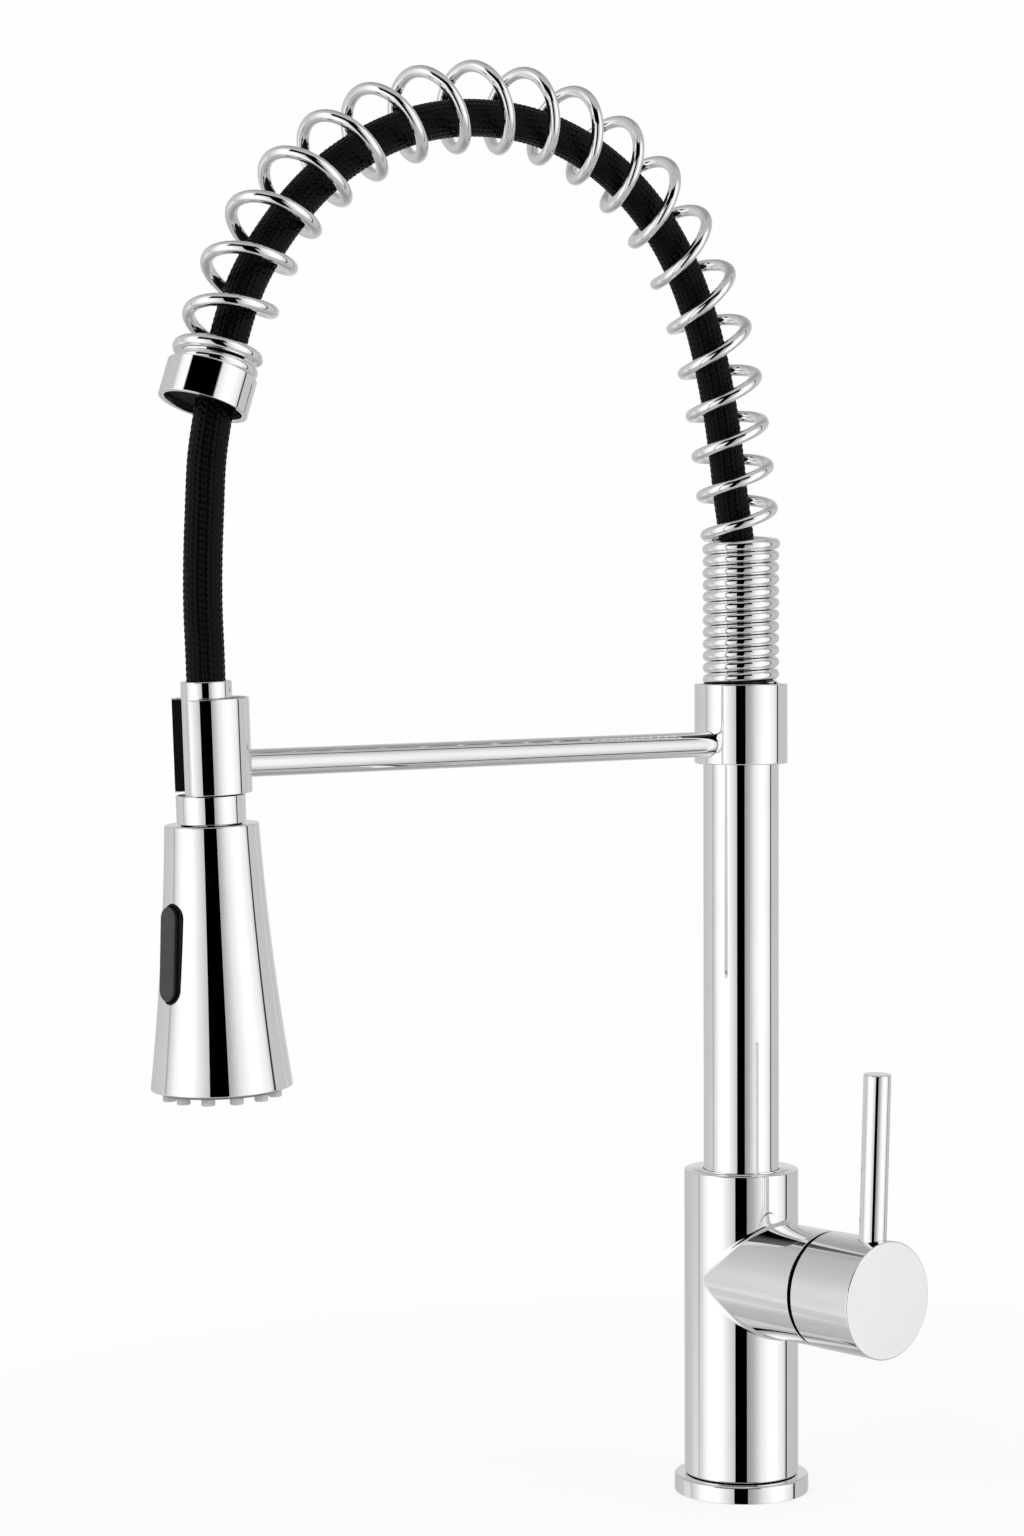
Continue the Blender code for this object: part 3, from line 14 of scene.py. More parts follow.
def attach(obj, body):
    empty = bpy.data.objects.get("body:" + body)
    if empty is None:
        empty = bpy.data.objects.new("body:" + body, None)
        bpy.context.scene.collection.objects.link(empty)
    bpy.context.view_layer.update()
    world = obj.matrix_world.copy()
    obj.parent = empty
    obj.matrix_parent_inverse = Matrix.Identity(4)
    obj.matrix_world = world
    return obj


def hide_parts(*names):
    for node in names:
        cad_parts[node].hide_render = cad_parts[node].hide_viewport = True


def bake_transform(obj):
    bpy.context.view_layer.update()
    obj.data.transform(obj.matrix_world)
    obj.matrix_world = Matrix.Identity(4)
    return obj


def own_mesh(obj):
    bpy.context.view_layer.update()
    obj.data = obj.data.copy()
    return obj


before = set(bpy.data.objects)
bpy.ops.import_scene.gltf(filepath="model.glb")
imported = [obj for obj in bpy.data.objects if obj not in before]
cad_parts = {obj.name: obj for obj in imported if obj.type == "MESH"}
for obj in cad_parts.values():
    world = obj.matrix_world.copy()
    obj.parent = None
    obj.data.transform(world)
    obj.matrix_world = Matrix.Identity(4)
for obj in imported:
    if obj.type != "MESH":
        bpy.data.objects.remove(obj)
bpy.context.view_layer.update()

# Mesh fineness
GAP = 0.0003
EDGE = 0.0005
OVERRUN = 0.002
MERGE = 0.0000001
ROUND_STEPS = 5
SEGMENTS_LARGE = 160
SEGMENTS_MIDDLE = 96
SEGMENTS_SMALL = 48
SHARP_ANGLE = math.radians(30)
WIRE_SHARP_ANGLE = math.radians(60)
ROUND_FACING = 0.985
ROUND_LEAST = 0.02
FLAT_FACING = 0.99
NOISE_SPAN = (0.3, 0.7)
PLASTIC_SHADE = 0.88
SOCKET_SHARE = 0.55
SOCKET_SIDES = 6
QUARTER_TURN = math.radians(90)
CIRCLE_DEGREES = 360.0
FULL_TURN = 2.0 * math.pi
ALONG_X = (0.0, QUARTER_TURN, 0.0)

# Base, valve body and its branch
FLANGE_RADIUS = 0.0250
FLANGE_HEIGHT = 0.0065
FLANGE_ROUND = 0.0010
SHANK_RADIUS = 0.0160
GASKET_INNER = 0.0195
GASKET_OUTER = 0.0225
GASKET_DEPTH = 0.0020
BODY_RADIUS = 0.02125
BODY_TOP = 0.1208
BODY_ROUND = 0.0006
HANDLE_HEIGHT = 0.0815
BRANCH_RADIUS = 0.0212
BRANCH_END = 0.0445
BRANCH_ROUND = 0.00025
JUNCTION_ROUND = 0.0015
JUNCTION_TIP_ROUND = 0.0060
JUNCTION_TIP_POWER = 6
CARTRIDGE_BORE = 0.0175
CARTRIDGE_SEAT = 0.0100
FOOT_BORE_RADIUS = 0.0130
FOOT_BORE_DEPTH = 0.0180
SEAT_DEPTH = 0.0020
RETAINER_RADIUS = 0.0020
RETAINER_HEIGHT_ABOVE_BORE = 0.0045

# Handle
SLIT = 0.0019
HUB_START = BRANCH_END + SLIT
HUB_RADIUS = 0.0214
HUB_END = 0.0744
HUB_WALL = 0.0055
HUB_CAVITY_DEPTH = 0.0115
HUB_RELIEF_DEPTH = 0.0019
HUB_RELIEF_LENGTH = 0.0046
HUB_SCREW_RADIUS = 0.0025
HUB_SCREW_RECESS = 0.0010
STEM_RADIUS = 0.0050
STEM_SOCKET_DEPTH = 0.0075
LEVER_RADIUS = 0.0050
LEVER_TOP = 0.1627
LEVER_TOP_REACH = 0.0691
LEVER_LEAN = math.radians(2.1)
LEVER_SOCKET_DEPTH = 0.0105

# Riser, upper ring, holder arm and clip
RISER_RADIUS = 0.0140
RISER_WALL = 0.0012
RISER_TOP = 0.2990
RISER_LIFT = 0.0014
RISER_BOTTOM = BODY_TOP - SEAT_DEPTH + RISER_LIFT
RING_RADIUS = 0.01725
RING_BOTTOM = 0.2720
RING_TOP = 0.3015
ARM_RADIUS = 0.0046
ARM_HEIGHT = 0.2795
ARM_SINK = 0.0024
RING_SCREW_RADIUS = 0.0020
REACH = 0.2443
SPRAY_LEAN = math.radians(2.27)
CLIP_TOP = 0.0218
CLIP_BOTTOM = -0.0093
CLIP_RADIUS = 0.0138
CLIP_WALL = 0.0008
CLIP_OPENING_HALF = math.radians(46.5)
CLIP_OPENING_TURN = math.radians(-17.5)
LINER_WALL = 0.0038

# Ferrule and spray head, measured along the spray axis from the arm's height
FERRULE_RADIUS = 0.0084
FERRULE_TOP = 0.0274
FERRULE_SOCKET = 0.0220
FERRULE_HEAD_HEIGHT = 0.0035
FERRULE_HEAD_LIP = 0.0018
NIPPLE_BORE = 0.0036
SPRAY_COLLAR_RADIUS = 0.0114
SPRAY_COLLAR_TOP = -0.0096
SPRAY_WASHER_HEIGHT = 0.0008
SPRAY_WASHER_INSET = 0.0016
SHELL_TOP = -0.0193
SHELL_BOTTOM = -0.1062
SHELL_TOP_RADIUS = 0.0155
SHELL_BOTTOM_RADIUS = 0.02345
SHELL_STRAIGHT_SHARE = 0.49
SHELL_WALL = 0.0018
SHELL_ROOF = 0.0030
SHELL_STEPS = 36
FACE_HEIGHT = 0.0050
FACE_PROUD = 0.0010
MAT_HEIGHT = 0.0030
NUB_RADIUS = 0.00225
NUB_LENGTH = 0.0023
NUB_RING_RADIUS = 0.0178
NUB_COUNT = 12
NUB_PHASE = math.radians(8.6)
NUB_HOLE_RADIUS = 0.0007
NUB_TAPER = 0.6
AERATOR_RADIUS = 0.0095
AERATOR_BORE = 0.0060
AERATOR_LENGTH = 0.0080

# Spray button
BUTTON_MIDDLE = -0.0617
BUTTON_TILT = math.radians(4.0)
BUTTON_LENGTH = 0.0324
BUTTON_WIDTH = 0.0094
BUTTON_FACE = 0.0202
BUTTON_HEIGHT = 0.0050
BUTTON_ROUND = 0.0005
# Cap faces that lean further from the button's face than this get painted shade.
SHADED_SIDE_FACING = 0.3
BEZEL_WALL = 0.0005
BEZEL_FACE = 0.0186
BEZEL_HEIGHT = 0.0050
WATERWAY_RADIUS = 0.0118
RETURN_WIRE_RADIUS = 0.0003
RETURN_RADIUS = 0.0030
RETURN_TURNS = 3
RETURN_SIDES = 12

# Spring: the wire, its close turns on the riser, the open turns of the arch and the end turns
WIRE_RADIUS = 0.002125
WIRE_SIDES = 20
GROUND_SHARE = 0.4
GROUND_LIFT = 0.00005
CAD_WIRE_RADIUS = 0.00195
CLOSE_PITCH = 0.00437
CLOSE_MEAN_RADIUS = 0.0121
OPEN_TURNS = 19.43
OPEN_START_TURN = -0.33
END_TURNS = 1.5
END_PITCH = 0.0048
END_MEAN_RADIUS = 0.01135
POINTS_PER_TURN = 48
ARCH_REACH = 0.2445
ARCH_RISE = 0.2014
ARCH_SHARES = (
    (0.000, 0.2636), (0.018, 0.4136), (0.049, 0.5859), (0.120, 0.7746), (0.273, 0.9384),
    (0.510, 1.0000), (0.738, 0.9235), (0.909, 0.7403))
OPEN_MEAN_RADIUS = 0.0137
OPEN_RADIUS_SHARES = (0.921, 0.968, 1.000, 1.012, 0.934)
OPEN_PHASE_SHARES = (0.0, 0.2046, 0.3691, 0.5221, 0.6697, 0.8259, 1.0)
TURN_LEAN_SHARES = (-0.098, 0.195)
ROUTE_SAMPLES = 4000

# Spring end collar
COLLAR_RADIUS = 0.0150
COLLAR_HEIGHT = 0.0125
COLLAR_WALL = 0.0020
COLLAR_HOLE = 0.0104
COLLAR_SEAT_DEPTH = 0.0020
COLLAR_SEAT_RADIUS = 0.0138
COLLAR_TOP_REACH = 0.24175
COLLAR_TOP_HEIGHT = 0.40775
COLLAR_LEAN = math.radians(19.7)

# Hose and its braid
HOSE_RADIUS = 0.0065
BRAID_COLUMNS = 22
BRAID_SIDES_PER_COLUMN = 6
BRAID_PICK = 0.0021
BRAID_RINGS_PER_PICK = 5
BRAID_DEPTH = 0.0005
BRAID_LEAN = 0.55
BRAID_ROUNDING = (0.7, 0.6)
HOSE_ROUTE = (
    (0.0000, 0.3003), (0.0000, 0.3280), (0.0009, 0.3440), (0.0024, 0.3560), (0.0046, 0.3670),
    (0.0070, 0.3821), (0.0099, 0.3983), (0.0140, 0.4148), (0.0193, 0.4311), (0.0266, 0.4469),
    (0.0365, 0.4617), (0.0494, 0.4748), (0.0650, 0.4856), (0.0826, 0.4934), (0.1017, 0.4980),
    (0.1216, 0.4992), (0.1421, 0.4973), (0.1630, 0.4917), (0.1825, 0.4825), (0.1999, 0.4703),
    (0.2148, 0.4551), (0.2273, 0.4375), (0.2342, 0.4213), (0.2395, 0.4030), (0.2431, 0.3870),
    (0.2444, 0.3789), (0.2453, 0.3659), (0.2460, 0.3529), (0.2464, 0.3399), (0.2463, 0.3280),
    (0.2458, 0.3175), (0.2454, 0.3069), (0.2450, 0.2960), (0.2446, 0.2856))

# Camera, as fitted to the photograph
IMAGE_WIDTH = 1024
CAMERA_FOCAL_PIXELS = 3609.48
CAMERA_SENSOR = 36.0
CAMERA_RANGE = 20.0
CAMERA_DISTANCE = 1.34102
CAMERA_HEIGHT = 0.33353
CAMERA_SIDE = math.radians(45.17)
CAMERA_YAW = -0.06342
CAMERA_PITCH = 0.04709
CAMERA_ROLL = 0.00362

# Studio, with angles in degrees to the camera's right and above the level; bands by angle and brightness
STUDIO_BANDS = (
    (-180, 0.84), (-150, 0.75), (-112, 0.78), (-92, 0.80), (-75, 0.97), (-60, 1.02), (-40, 1.0),
    (-14, 0.78), (14, 0.60), (25, 0.70), (40, 0.90), (55, 0.99), (70, 1.02), (85, 0.95), (92, 0.93),
    (99, 0.82), (108, 0.76), (150, 0.75), (180, 0.84))
DARK_LINE = (100.8, 105.2)
LINE_EDGE = 0.6
LINE_SHARE = 0.92
CARD_FAR = (5.45, -8.39, 8.0)
CARD_NEAR = (1.265, -0.837, 1.7)
STUDIO_GREY = 0.70
BACK_GREY = 0.58
FLAG_MIDDLE = -7
FLAG_HALF_WIDTH = (40, 46)
FLAG_BOTTOM = (13, 17)
FLAG_TOP = (44, 52)
BACK_SIDE = (115, 150)
SHADE_MIDDLE = -95.5
SHADE_HALF_WIDTH = (1.5, 3.5)
SHADE_TOP = (1, 4)
SHADE_SHARE = 0.30
STUDIO_GAIN = 1.07
DISPLAY_POWER = 2.25
BOX_HALF_HEIGHT = (30, 56)
BOX_SIDE = (80, 88)
SIDE_HALF_HEIGHT = (2, 60)
GLOW_MIDDLE = (-104, -23)
GLOW_HALF_HEIGHT = (3, 16)
GLOW_HALF_WIDTH = (6, 20)
GLOW_BRIGHTNESS = 0.26
LINE_HALF_HEIGHT = (48, 52)
BACKGROUND = 0.99
DAYLIGHT = 0.75
FLOOR_FADE = (0.12, 0.42)
FLOOR_LEAST = 0.85
FLOOR_HALF = 1.2
FLOOR_COLOUR = (0.93, 0.93, 0.93, 1.0)
LAMP_TARGET = (0.0, -0.12, 0.25)


def frame_at(location, rotation=(0.0, 0.0, 0.0)):
    """World matrix of a place: rotation in X, Y, Z order, then location."""
    return Matrix.LocRotScale(Vector(location), Euler(rotation), None)


UP = Vector((0.0, 0.0, 1.0))
UPRIGHT = Matrix.Identity(4)
HANDLE_FRAME = frame_at((0.0, 0.0, HANDLE_HEIGHT), ALONG_X)
ARM_FRAME = frame_at((0.0, 0.0, ARM_HEIGHT), (QUARTER_TURN, 0.0, 0.0))
SPRAY_FRAME = frame_at((0.0, -REACH, ARM_HEIGHT), (SPRAY_LEAN, 0.0, 0.0))
COLLAR_FRAME = frame_at((0.0, -COLLAR_TOP_REACH, COLLAR_TOP_HEIGHT), (-COLLAR_LEAN, 0.0, 0.0))
BUTTON_FRAME = SPRAY_FRAME @ frame_at((0.0, 0.0, BUTTON_MIDDLE)) \
    @ Matrix.Rotation(QUARTER_TURN, 4, "X") @ Matrix.Rotation(QUARTER_TURN, 4, "Z") \
    @ Matrix.Rotation(BUTTON_TILT, 4, "Y")


class Nodes:
    """Short calls for a node tree. Settings with a capital name sockets, the others the node's own."""

    def __init__(self, owner, empty=True):
        owner.use_nodes = True
        self.tree = owner.node_tree
        if empty:
            self.tree.nodes.clear()

    def put(self, socket, value):
        if isinstance(value, bpy.types.NodeSocket):
            self.tree.links.new(value, socket)
        elif value is not None:
            socket.default_value = value

    def add(self, kind, *values, **settings):
        node = self.tree.nodes.new("ShaderNode" + kind)
        for name, value in settings.items():
            if name[0].isupper():
                self.put(node.inputs[name], value)
            else:
                setattr(node, name, value)
        for socket, value in zip(node.inputs, values):
            self.put(socket, value)
        return node

    def new(self, kind, *values, **settings):
        return self.add(kind, *values, **settings).outputs[0]

    def math(self, operation, *values):
        return self.new("Math", *values, operation=operation)

    def step(self, value, low, high, start=0.0, end=1.0):
        """Goes smoothly from start at low to end at high."""
        return self.new("MapRange", value, low, high, start, end, interpolation_type="SMOOTHSTEP")

    def near(self, value, middle, span):
        """1 about the middle, falling to 0 over the span of distances."""
        return self.step(self.math("ABSOLUTE", self.math("SUBTRACT", value, middle)), *span, 1.0, 0.0)

    def mix(self, share, one, two):
        return self.new("Mix", share, None, one, two, data_type="FLOAT")

    def dim(self, light, mask, share):
        """Takes a share of the light away where the mask is 1."""
        return self.math("MULTIPLY", light, self.math("MULTIPLY_ADD", mask, -share, 1.0))


def add_finish(name, slot, colour, rough, tones=None, grain=None, metallic=0.0, **sockets):
    """Material with noise in object space.

    rough and tones give the two ends of roughness and colour, grain the bump's strength and distance. Each
    goes on with the scale, detail and stretch of its noise.
    """
    material = bpy.data.materials.new(name)
    material.diffuse_color = (*colour, 1.0)
    nodes = Nodes(material, False)
    place = nodes.add("TexCoord").outputs["Object"]
    shader = nodes.tree.nodes["Principled BSDF"].inputs
    shader["Base Color"].default_value = (*colour, 1.0)
    shader["Metallic"].default_value = metallic
    for socket, value in sockets.items():
        shader[socket.replace("_", " ")].default_value = value

    def noise(scale, detail=3.0, stretch=(1.0, 1.0, 1.0)):
        return nodes.new("TexNoise", nodes.new("Mapping", place, Scale=stretch), Scale=scale, Detail=detail)

    nodes.put(shader["Roughness"], nodes.new("MapRange", noise(*rough[2:]), *NOISE_SPAN, *rough[:2]))
    if tones:
        ramp = nodes.add("ValToRGB", noise(*tones[2:]))
        for element, position, tone in zip(ramp.color_ramp.elements, NOISE_SPAN, tones):
            element.position = position
            element.color = (*tone, 1.0)
        nodes.put(shader["Base Color"], ramp.outputs["Color"])
    if grain:
        height = noise(*grain[2:])
        nodes.put(shader["Normal"], nodes.new("Bump", Strength=grain[0], Distance=grain[1], Height=height))
    return material


def chrome(name, low, high):
    """Polished chrome plate: a mirror with faint wiping marks and hardly any orange peel."""
    return add_finish(name, "chrome", (0.93, 0.935, 0.94), rough=(low, high, 160.0, 6.0, (1.0, 1.0, 0.25)),
                      tones=((0.915, 0.92, 0.925), (0.95, 0.953, 0.957), 45.0),
                      grain=(0.04, 0.00002, 90.0, 1.0), metallic=1.0)


def plastic(name, slot, colour, low, high, **sockets):
    """Moulded plastic with a fine even grain."""
    shade = tuple(part * PLASTIC_SHADE for part in colour)
    return add_finish(name, slot, colour, rough=(low, high, 400.0), tones=(shade, colour, 120.0),
                      grain=(0.12, 0.00003, 2200.0, 2.0), **sockets)


def black(name, level, low, high, specular):
    """Plastic so dark that its shine has to be held back, also used for painted shade in gaps and on the
    button's sides.
    """
    return plastic(name, "black_plastic", (level, level, level), low, high, Specular_IOR_Level=specular)


CHROME = chrome("polished_chrome", 0.012, 0.045)
WIRE_CHROME = chrome("chrome_wire", 0.015, 0.06)
STEEL = add_finish(
    "plain_steel", "steel", (0.55, 0.55, 0.55), rough=(0.22, 0.42, 900.0, 4.0, (1.0, 1.0, 0.1)),
    grain=(0.15, 0.00002, 1500.0, 4.0, (1.0, 1.0, 0.1)), metallic=1.0)
BRASS = add_finish(
    "machined_brass", "brass", (0.72, 0.55, 0.28), rough=(0.22, 0.38, 1200.0, 4.0, (1.0, 1.0, 8.0)),
    tones=((0.66, 0.49, 0.24), (0.76, 0.60, 0.33), 200.0), grain=(0.2, 0.00003, 1200.0, 2.0, (0.2, 0.2, 8.0)),
    metallic=1.0)
RUBBER = add_finish(
    "black_rubber", "rubber", (0.008, 0.008, 0.008), rough=(0.6, 0.85, 500.0),
    tones=((0.006, 0.006, 0.006), (0.012, 0.012, 0.012), 300.0), grain=(0.25, 0.00004, 2500.0),
    Specular_IOR_Level=0.12)
CERAMIC = add_finish(
    "lapped_ceramic", "ceramic", (0.88, 0.87, 0.83), rough=(0.12, 0.25, 600.0),
    tones=((0.85, 0.84, 0.80), (0.90, 0.89, 0.86), 150.0))
BRAID = add_finish(
    "black_braid", "braid", (0.002, 0.002, 0.002), rough=(0.10, 0.20, 900.0),
    tones=((0.001, 0.001, 0.001), (0.003, 0.003, 0.003), 1400.0), grain=(0.12, 0.00003, 6000.0, 2.0),
    Specular_IOR_Level=0.08)
# Painted shade: near-black finish for the slit between valve body and handle and the hollows behind it.
PAINTED_GAP_SHADE = black("painted_gap_shade", 0.004, 0.6, 0.8, 0.05)
LINING_BLACK = black("lining_black", 0.003, 0.18, 0.30, 0.04)
# Black of the button's rim, also put on the cap's sides as painted shade.
RIM_BLACK_AND_SIDE_SHADE = black("rim_black_and_side_shade", 0.006, 0.30, 0.45, 0.15)
BLACK_PLASTIC = plastic("black_plastic", "black_plastic", (0.020, 0.020, 0.021), 0.32, 0.48)
BUTTON_GREY = plastic("button_grey", "black_plastic", (0.040, 0.040, 0.042), 0.42, 0.58)
FACE_GREY = plastic("face_grey", "grey_plastic", (0.20, 0.205, 0.215), 0.38, 0.52)
NUB_GREY = plastic("nub_grey", "rubber", (0.56, 0.56, 0.57), 0.28, 0.42)
WHITE_PLASTIC = plastic("white_plastic", "white_plastic", (0.80, 0.80, 0.78), 0.38, 0.52)


def round_corner(before, corner, after, radius):
    """Points of a fillet arc between two straight edges of a profile."""
    one = (Vector(before) - Vector(corner)).normalized()
    two = (Vector(after) - Vector(corner)).normalized()
    half = one.angle(two) / 2.0
    if half > QUARTER_TURN - MERGE:
        return [tuple(corner)]
    centre = Vector(corner) + (one + two).normalized() * (radius / math.sin(half))
    start = Vector(corner) + one * (radius / math.tan(half)) - centre
    end = Vector(corner) + two * (radius / math.tan(half)) - centre
    sweep = start.angle_signed(end)
    points = []
    for step in range(ROUND_STEPS + 1):
        angle = -sweep * step / ROUND_STEPS
        points.append((centre.x + start.x * math.cos(angle) - start.y * math.sin(angle),
                       centre.y + start.x * math.sin(angle) + start.y * math.cos(angle)))
    return points


def profile_points(corners, closed):
    """Profile from (radius, height) or (radius, height, fillet) corners."""
    points = []
    count = len(corners)
    for index, corner in enumerate(corners):
        fillet = corner[2] if len(corner) > 2 else 0.0
        inner = closed or 0 < index < count - 1
        if fillet > 0.0 and inner:
            before = corners[index - 1][:2]
            after = corners[(index + 1) % count][:2]
            points += round_corner(before, corner[:2], after, fillet)
        else:
            points.append(tuple(corner[:2]))
    return points


def outline(radius, straight, segments):
    """Round outline, or with a straight part an oblong one that is long along X."""
    angles = FULL_TURN * (np.arange(segments) + 0.5) / segments
    across = radius * np.cos(angles)
    return np.stack([across + np.where(np.cos(angles) > 0.0, straight, -straight) / 2.0,
                     radius * np.sin(angles)], axis=1)


def new_mesh(name, vertices, faces):
    mesh = bpy.data.meshes.new(name)
    mesh.from_pydata(vertices, [], faces)
    return mesh


def add_piece(name, mesh, place, finish=None):
    item = bpy.data.objects.new(name, mesh)
    bpy.context.scene.collection.objects.link(item)
    item.matrix_world = place
    if finish:
        mesh.materials.append(finish)
    return item


def turned(name, corners, place, finish=None, closed=True, segments=SEGMENTS_LARGE, straight=0.0):
    """Piece with a profile that runs down its outer side, swept round the Z axis."""
    points = profile_points(corners, closed)
    vertices = []
    for radius, height in points:
        vertices += [(x, y, height) for x, y in outline(radius, straight, segments)]
    rows = len(points)
    faces = []
    for row in range(rows if closed else rows - 1):
        below = (row + 1) % rows
        for side in range(segments):
            beside = (side + 1) % segments
            faces.append((row * segments + side, below * segments + side,
                          below * segments + beside, row * segments + beside))
    mesh = new_mesh(name, vertices, faces)
    shape = bmesh.new()
    shape.from_mesh(mesh)
    bmesh.ops.remove_doubles(shape, verts=shape.verts, dist=MERGE)
    bmesh.ops.dissolve_degenerate(shape, edges=shape.edges, dist=MERGE)
    shape.to_mesh(mesh)
    shape.free()
    return add_piece(name, mesh, place, finish)


def ring(outer, inner, top, bottom, outer_fillet=0.0, inner_fillet=0.0):
    """Corners of a plain ring's section."""
    return [(outer, top, outer_fillet), (outer, bottom, outer_fillet),
            (inner, bottom, inner_fillet), (inner, top, inner_fillet)]


def rod(name, radius, top, bottom, place, finish=None, segments=SEGMENTS_MIDDLE, fillet=0.0, straight=0.0):
    corners = [(0.0, top), (radius, top, fillet), (radius, bottom, fillet), (0.0, bottom)]
    return turned(name, corners, place, finish, False, segments, straight)


def cube(name, size, place):
    mesh = bpy.data.meshes.new(name)
    shape = bmesh.new()
    bmesh.ops.create_cube(shape, size=size)
    shape.to_mesh(mesh)
    shape.free()
    return add_piece(name, mesh, place)


def apply_modifiers(item):
    """Gives a piece the mesh that its modifiers make."""
    bpy.context.view_layer.update()
    graph = bpy.context.evaluated_depsgraph_get()
    mesh = bpy.data.meshes.new_from_object(item.evaluated_get(graph))
    mesh.name = item.name
    item.modifiers.clear()
    item.data = mesh


def carve(item, *cutters):
    """Cuts shapes out of a piece and removes the cutters."""
    for cutter in cutters:
        boolean = item.modifiers.new(cutter.name, "BOOLEAN")
        boolean.operation = "DIFFERENCE"
        boolean.solver = "EXACT"
        boolean.object = cutter
    apply_modifiers(item)
    for cutter in cutters:
        bpy.data.objects.remove(cutter, do_unlink=True)


def smooth(item, turned_shape=True):
    """Smooth shading with crisp edges; round faces get the exact normal of their circle."""
    item.data.shade_smooth()
    item.data.set_sharp_from_angle(angle=SHARP_ANGLE)
    item.modifiers.new("weight", "WEIGHTED_NORMAL").keep_sharp = True
    apply_modifiers(item)
    if turned_shape:
        round_normals(item.data)
    return item


def round_normals(mesh):
    """Turns each corner normal of a turned shape about the Z axis to its own corner's direction."""
    normals = np.array([corner.vector for corner in mesh.corner_normals])
    places = np.array([mesh.vertices[loop.vertex_index].co for loop in mesh.loops])
    radial = places[:, :2] / np.maximum(np.linalg.norm(places[:, :2], axis=1), MERGE)[:, None]
    flat = np.linalg.norm(normals[:, :2], axis=1)
    facing = np.einsum("ij,ij->i", normals[:, :2], radial)
    near = (np.abs(facing) > ROUND_FACING * flat) & (flat > ROUND_LEAST)
    normals[near, :2] = (radial * (np.sign(facing) * flat)[:, None])[near]
    mesh.normals_split_custom_set(normals.tolist())


def dress(item, body, *nodes):
    """Ties a finished piece to its body and hides the CAD nodes that it stands for."""
    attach(item, body)
    if nodes:
        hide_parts(*nodes)
    return item


def finished(item, body, node, *cutters, turned_shape=True):
    """Cuts, smooths and dresses a piece."""
    if cutters:
        carve(item, *cutters)
    return dress(smooth(item, turned_shape), body, node)


class Skin:
    """Mesh built from patches, each a grid of points with their exact normals."""

    def __init__(self):
        self.vertices = []
        self.index = {}
        self.faces = []
        self.normals = []
        self.finishes = []

    def vertex(self, point):
        key = tuple(round(value / MERGE) for value in point)
        if key not in self.index:
            self.index[key] = len(self.vertices)
            self.vertices.append(tuple(point))
        return self.index[key]

    def patch(self, grid, finish=0):
        """Adds a grid, whose rows hold pairs of point and normal. The winding follows the normals."""
        numbers = [[(self.vertex(point), normal) for point, normal in row] for row in grid]
        for row, below in zip(numbers, numbers[1:]):
            for column in range(len(row) - 1):
                kept = []
                for number, normal in (row[column], below[column], below[column + 1], row[column + 1]):
                    if number not in [entry[0] for entry in kept]:
                        kept.append((number, normal))
                if len(kept) < 3:
                    continue
                places = [Vector(self.vertices[entry[0]]) for entry in kept]
                way = (places[1] - places[0]).cross(places[2] - places[0])
                if way.dot(kept[0][1]) < 0.0:
                    kept.reverse()
                self.faces.append([entry[0] for entry in kept])
                self.normals += [tuple(entry[1]) for entry in kept]
                self.finishes.append(finish)

    def bands(self, ways, axis, corners, finish=0):
        """Straight bands of a turned shape from each (radius, height) corner to the next; they face left."""
        for start, end in zip(corners, corners[1:]):
            run = (Vector(end) - Vector(start)).normalized()
            self.patch([[(way * place[0] + axis * place[1], axis * run.x - way * run.y) for way in ways]
                        for place in (start, end)], finish)

    def rim(self, ways, axis, outer, level, fillet, side, inner, finish=0):
        """Rounded rim at the end of a round bar and the flat ring inside it."""
        grid = []
        for step in range(ROUND_STEPS + 1):
            angle = QUARTER_TURN * step / ROUND_STEPS
            radius = outer - fillet + fillet * math.cos(angle)
            height = level - side * fillet * (1.0 - math.sin(angle))
            up = axis * (side * math.sin(angle))
            grid.append([(way * radius + axis * height, way * math.cos(angle) + up) for way in ways])
        self.patch(grid)
        self.patch([[(way * radius + axis * level, axis * side) for way in ways]
                    for radius in (outer - fillet, inner)], finish)

    def piece(self, name, place, *finishes):
        mesh = new_mesh(name, self.vertices, self.faces)
        item = add_piece(name, mesh, place, finishes[0])
        for finish in finishes[1:]:
            mesh.materials.append(finish)
        mesh.polygons.foreach_set("material_index", self.finishes)
        mesh.shade_smooth()
        mesh.normals_split_custom_set(self.normals)
        return item


def make_base():
    gasket_top = GASKET_DEPTH + GAP
    flange = turned("flange", [
        (FLANGE_RADIUS, FLANGE_HEIGHT, FLANGE_ROUND), (FLANGE_RADIUS, 0.0, EDGE / 2.0),
        (GASKET_OUTER + GAP, 0.0), (GASKET_OUTER + GAP, gasket_top),
        (GASKET_INNER - GAP, gasket_top), (GASKET_INNER - GAP, 0.0),
        (SHANK_RADIUS + GAP, 0.0), (SHANK_RADIUS + GAP, FLANGE_HEIGHT)], UPRIGHT, CHROME)
    finished(flange, "base", "base_flange")


def junction_ball(beta):
    """Centre of the ball that rolls between column and branch, by the angle round the branch from the top."""
    radius = BRANCH_RADIUS + JUNCTION_ROUND + JUNCTION_TIP_ROUND * math.sin(beta) ** JUNCTION_TIP_POWER
    y = radius * math.sin(beta)
    x = math.sqrt((radius + BODY_RADIUS - BRANCH_RADIUS) ** 2 - y ** 2)
    return Vector((x, y, radius * math.cos(beta)))


def on_column(centre):
    share = BODY_RADIUS / math.hypot(centre.x, centre.y)
    return Vector((centre.x * share, centre.y * share, centre.z))


def on_branch(centre):
    share = BRANCH_RADIUS / math.hypot(centre.y, centre.z)
    return Vector((centre.x, centre.y * share, centre.z * share))


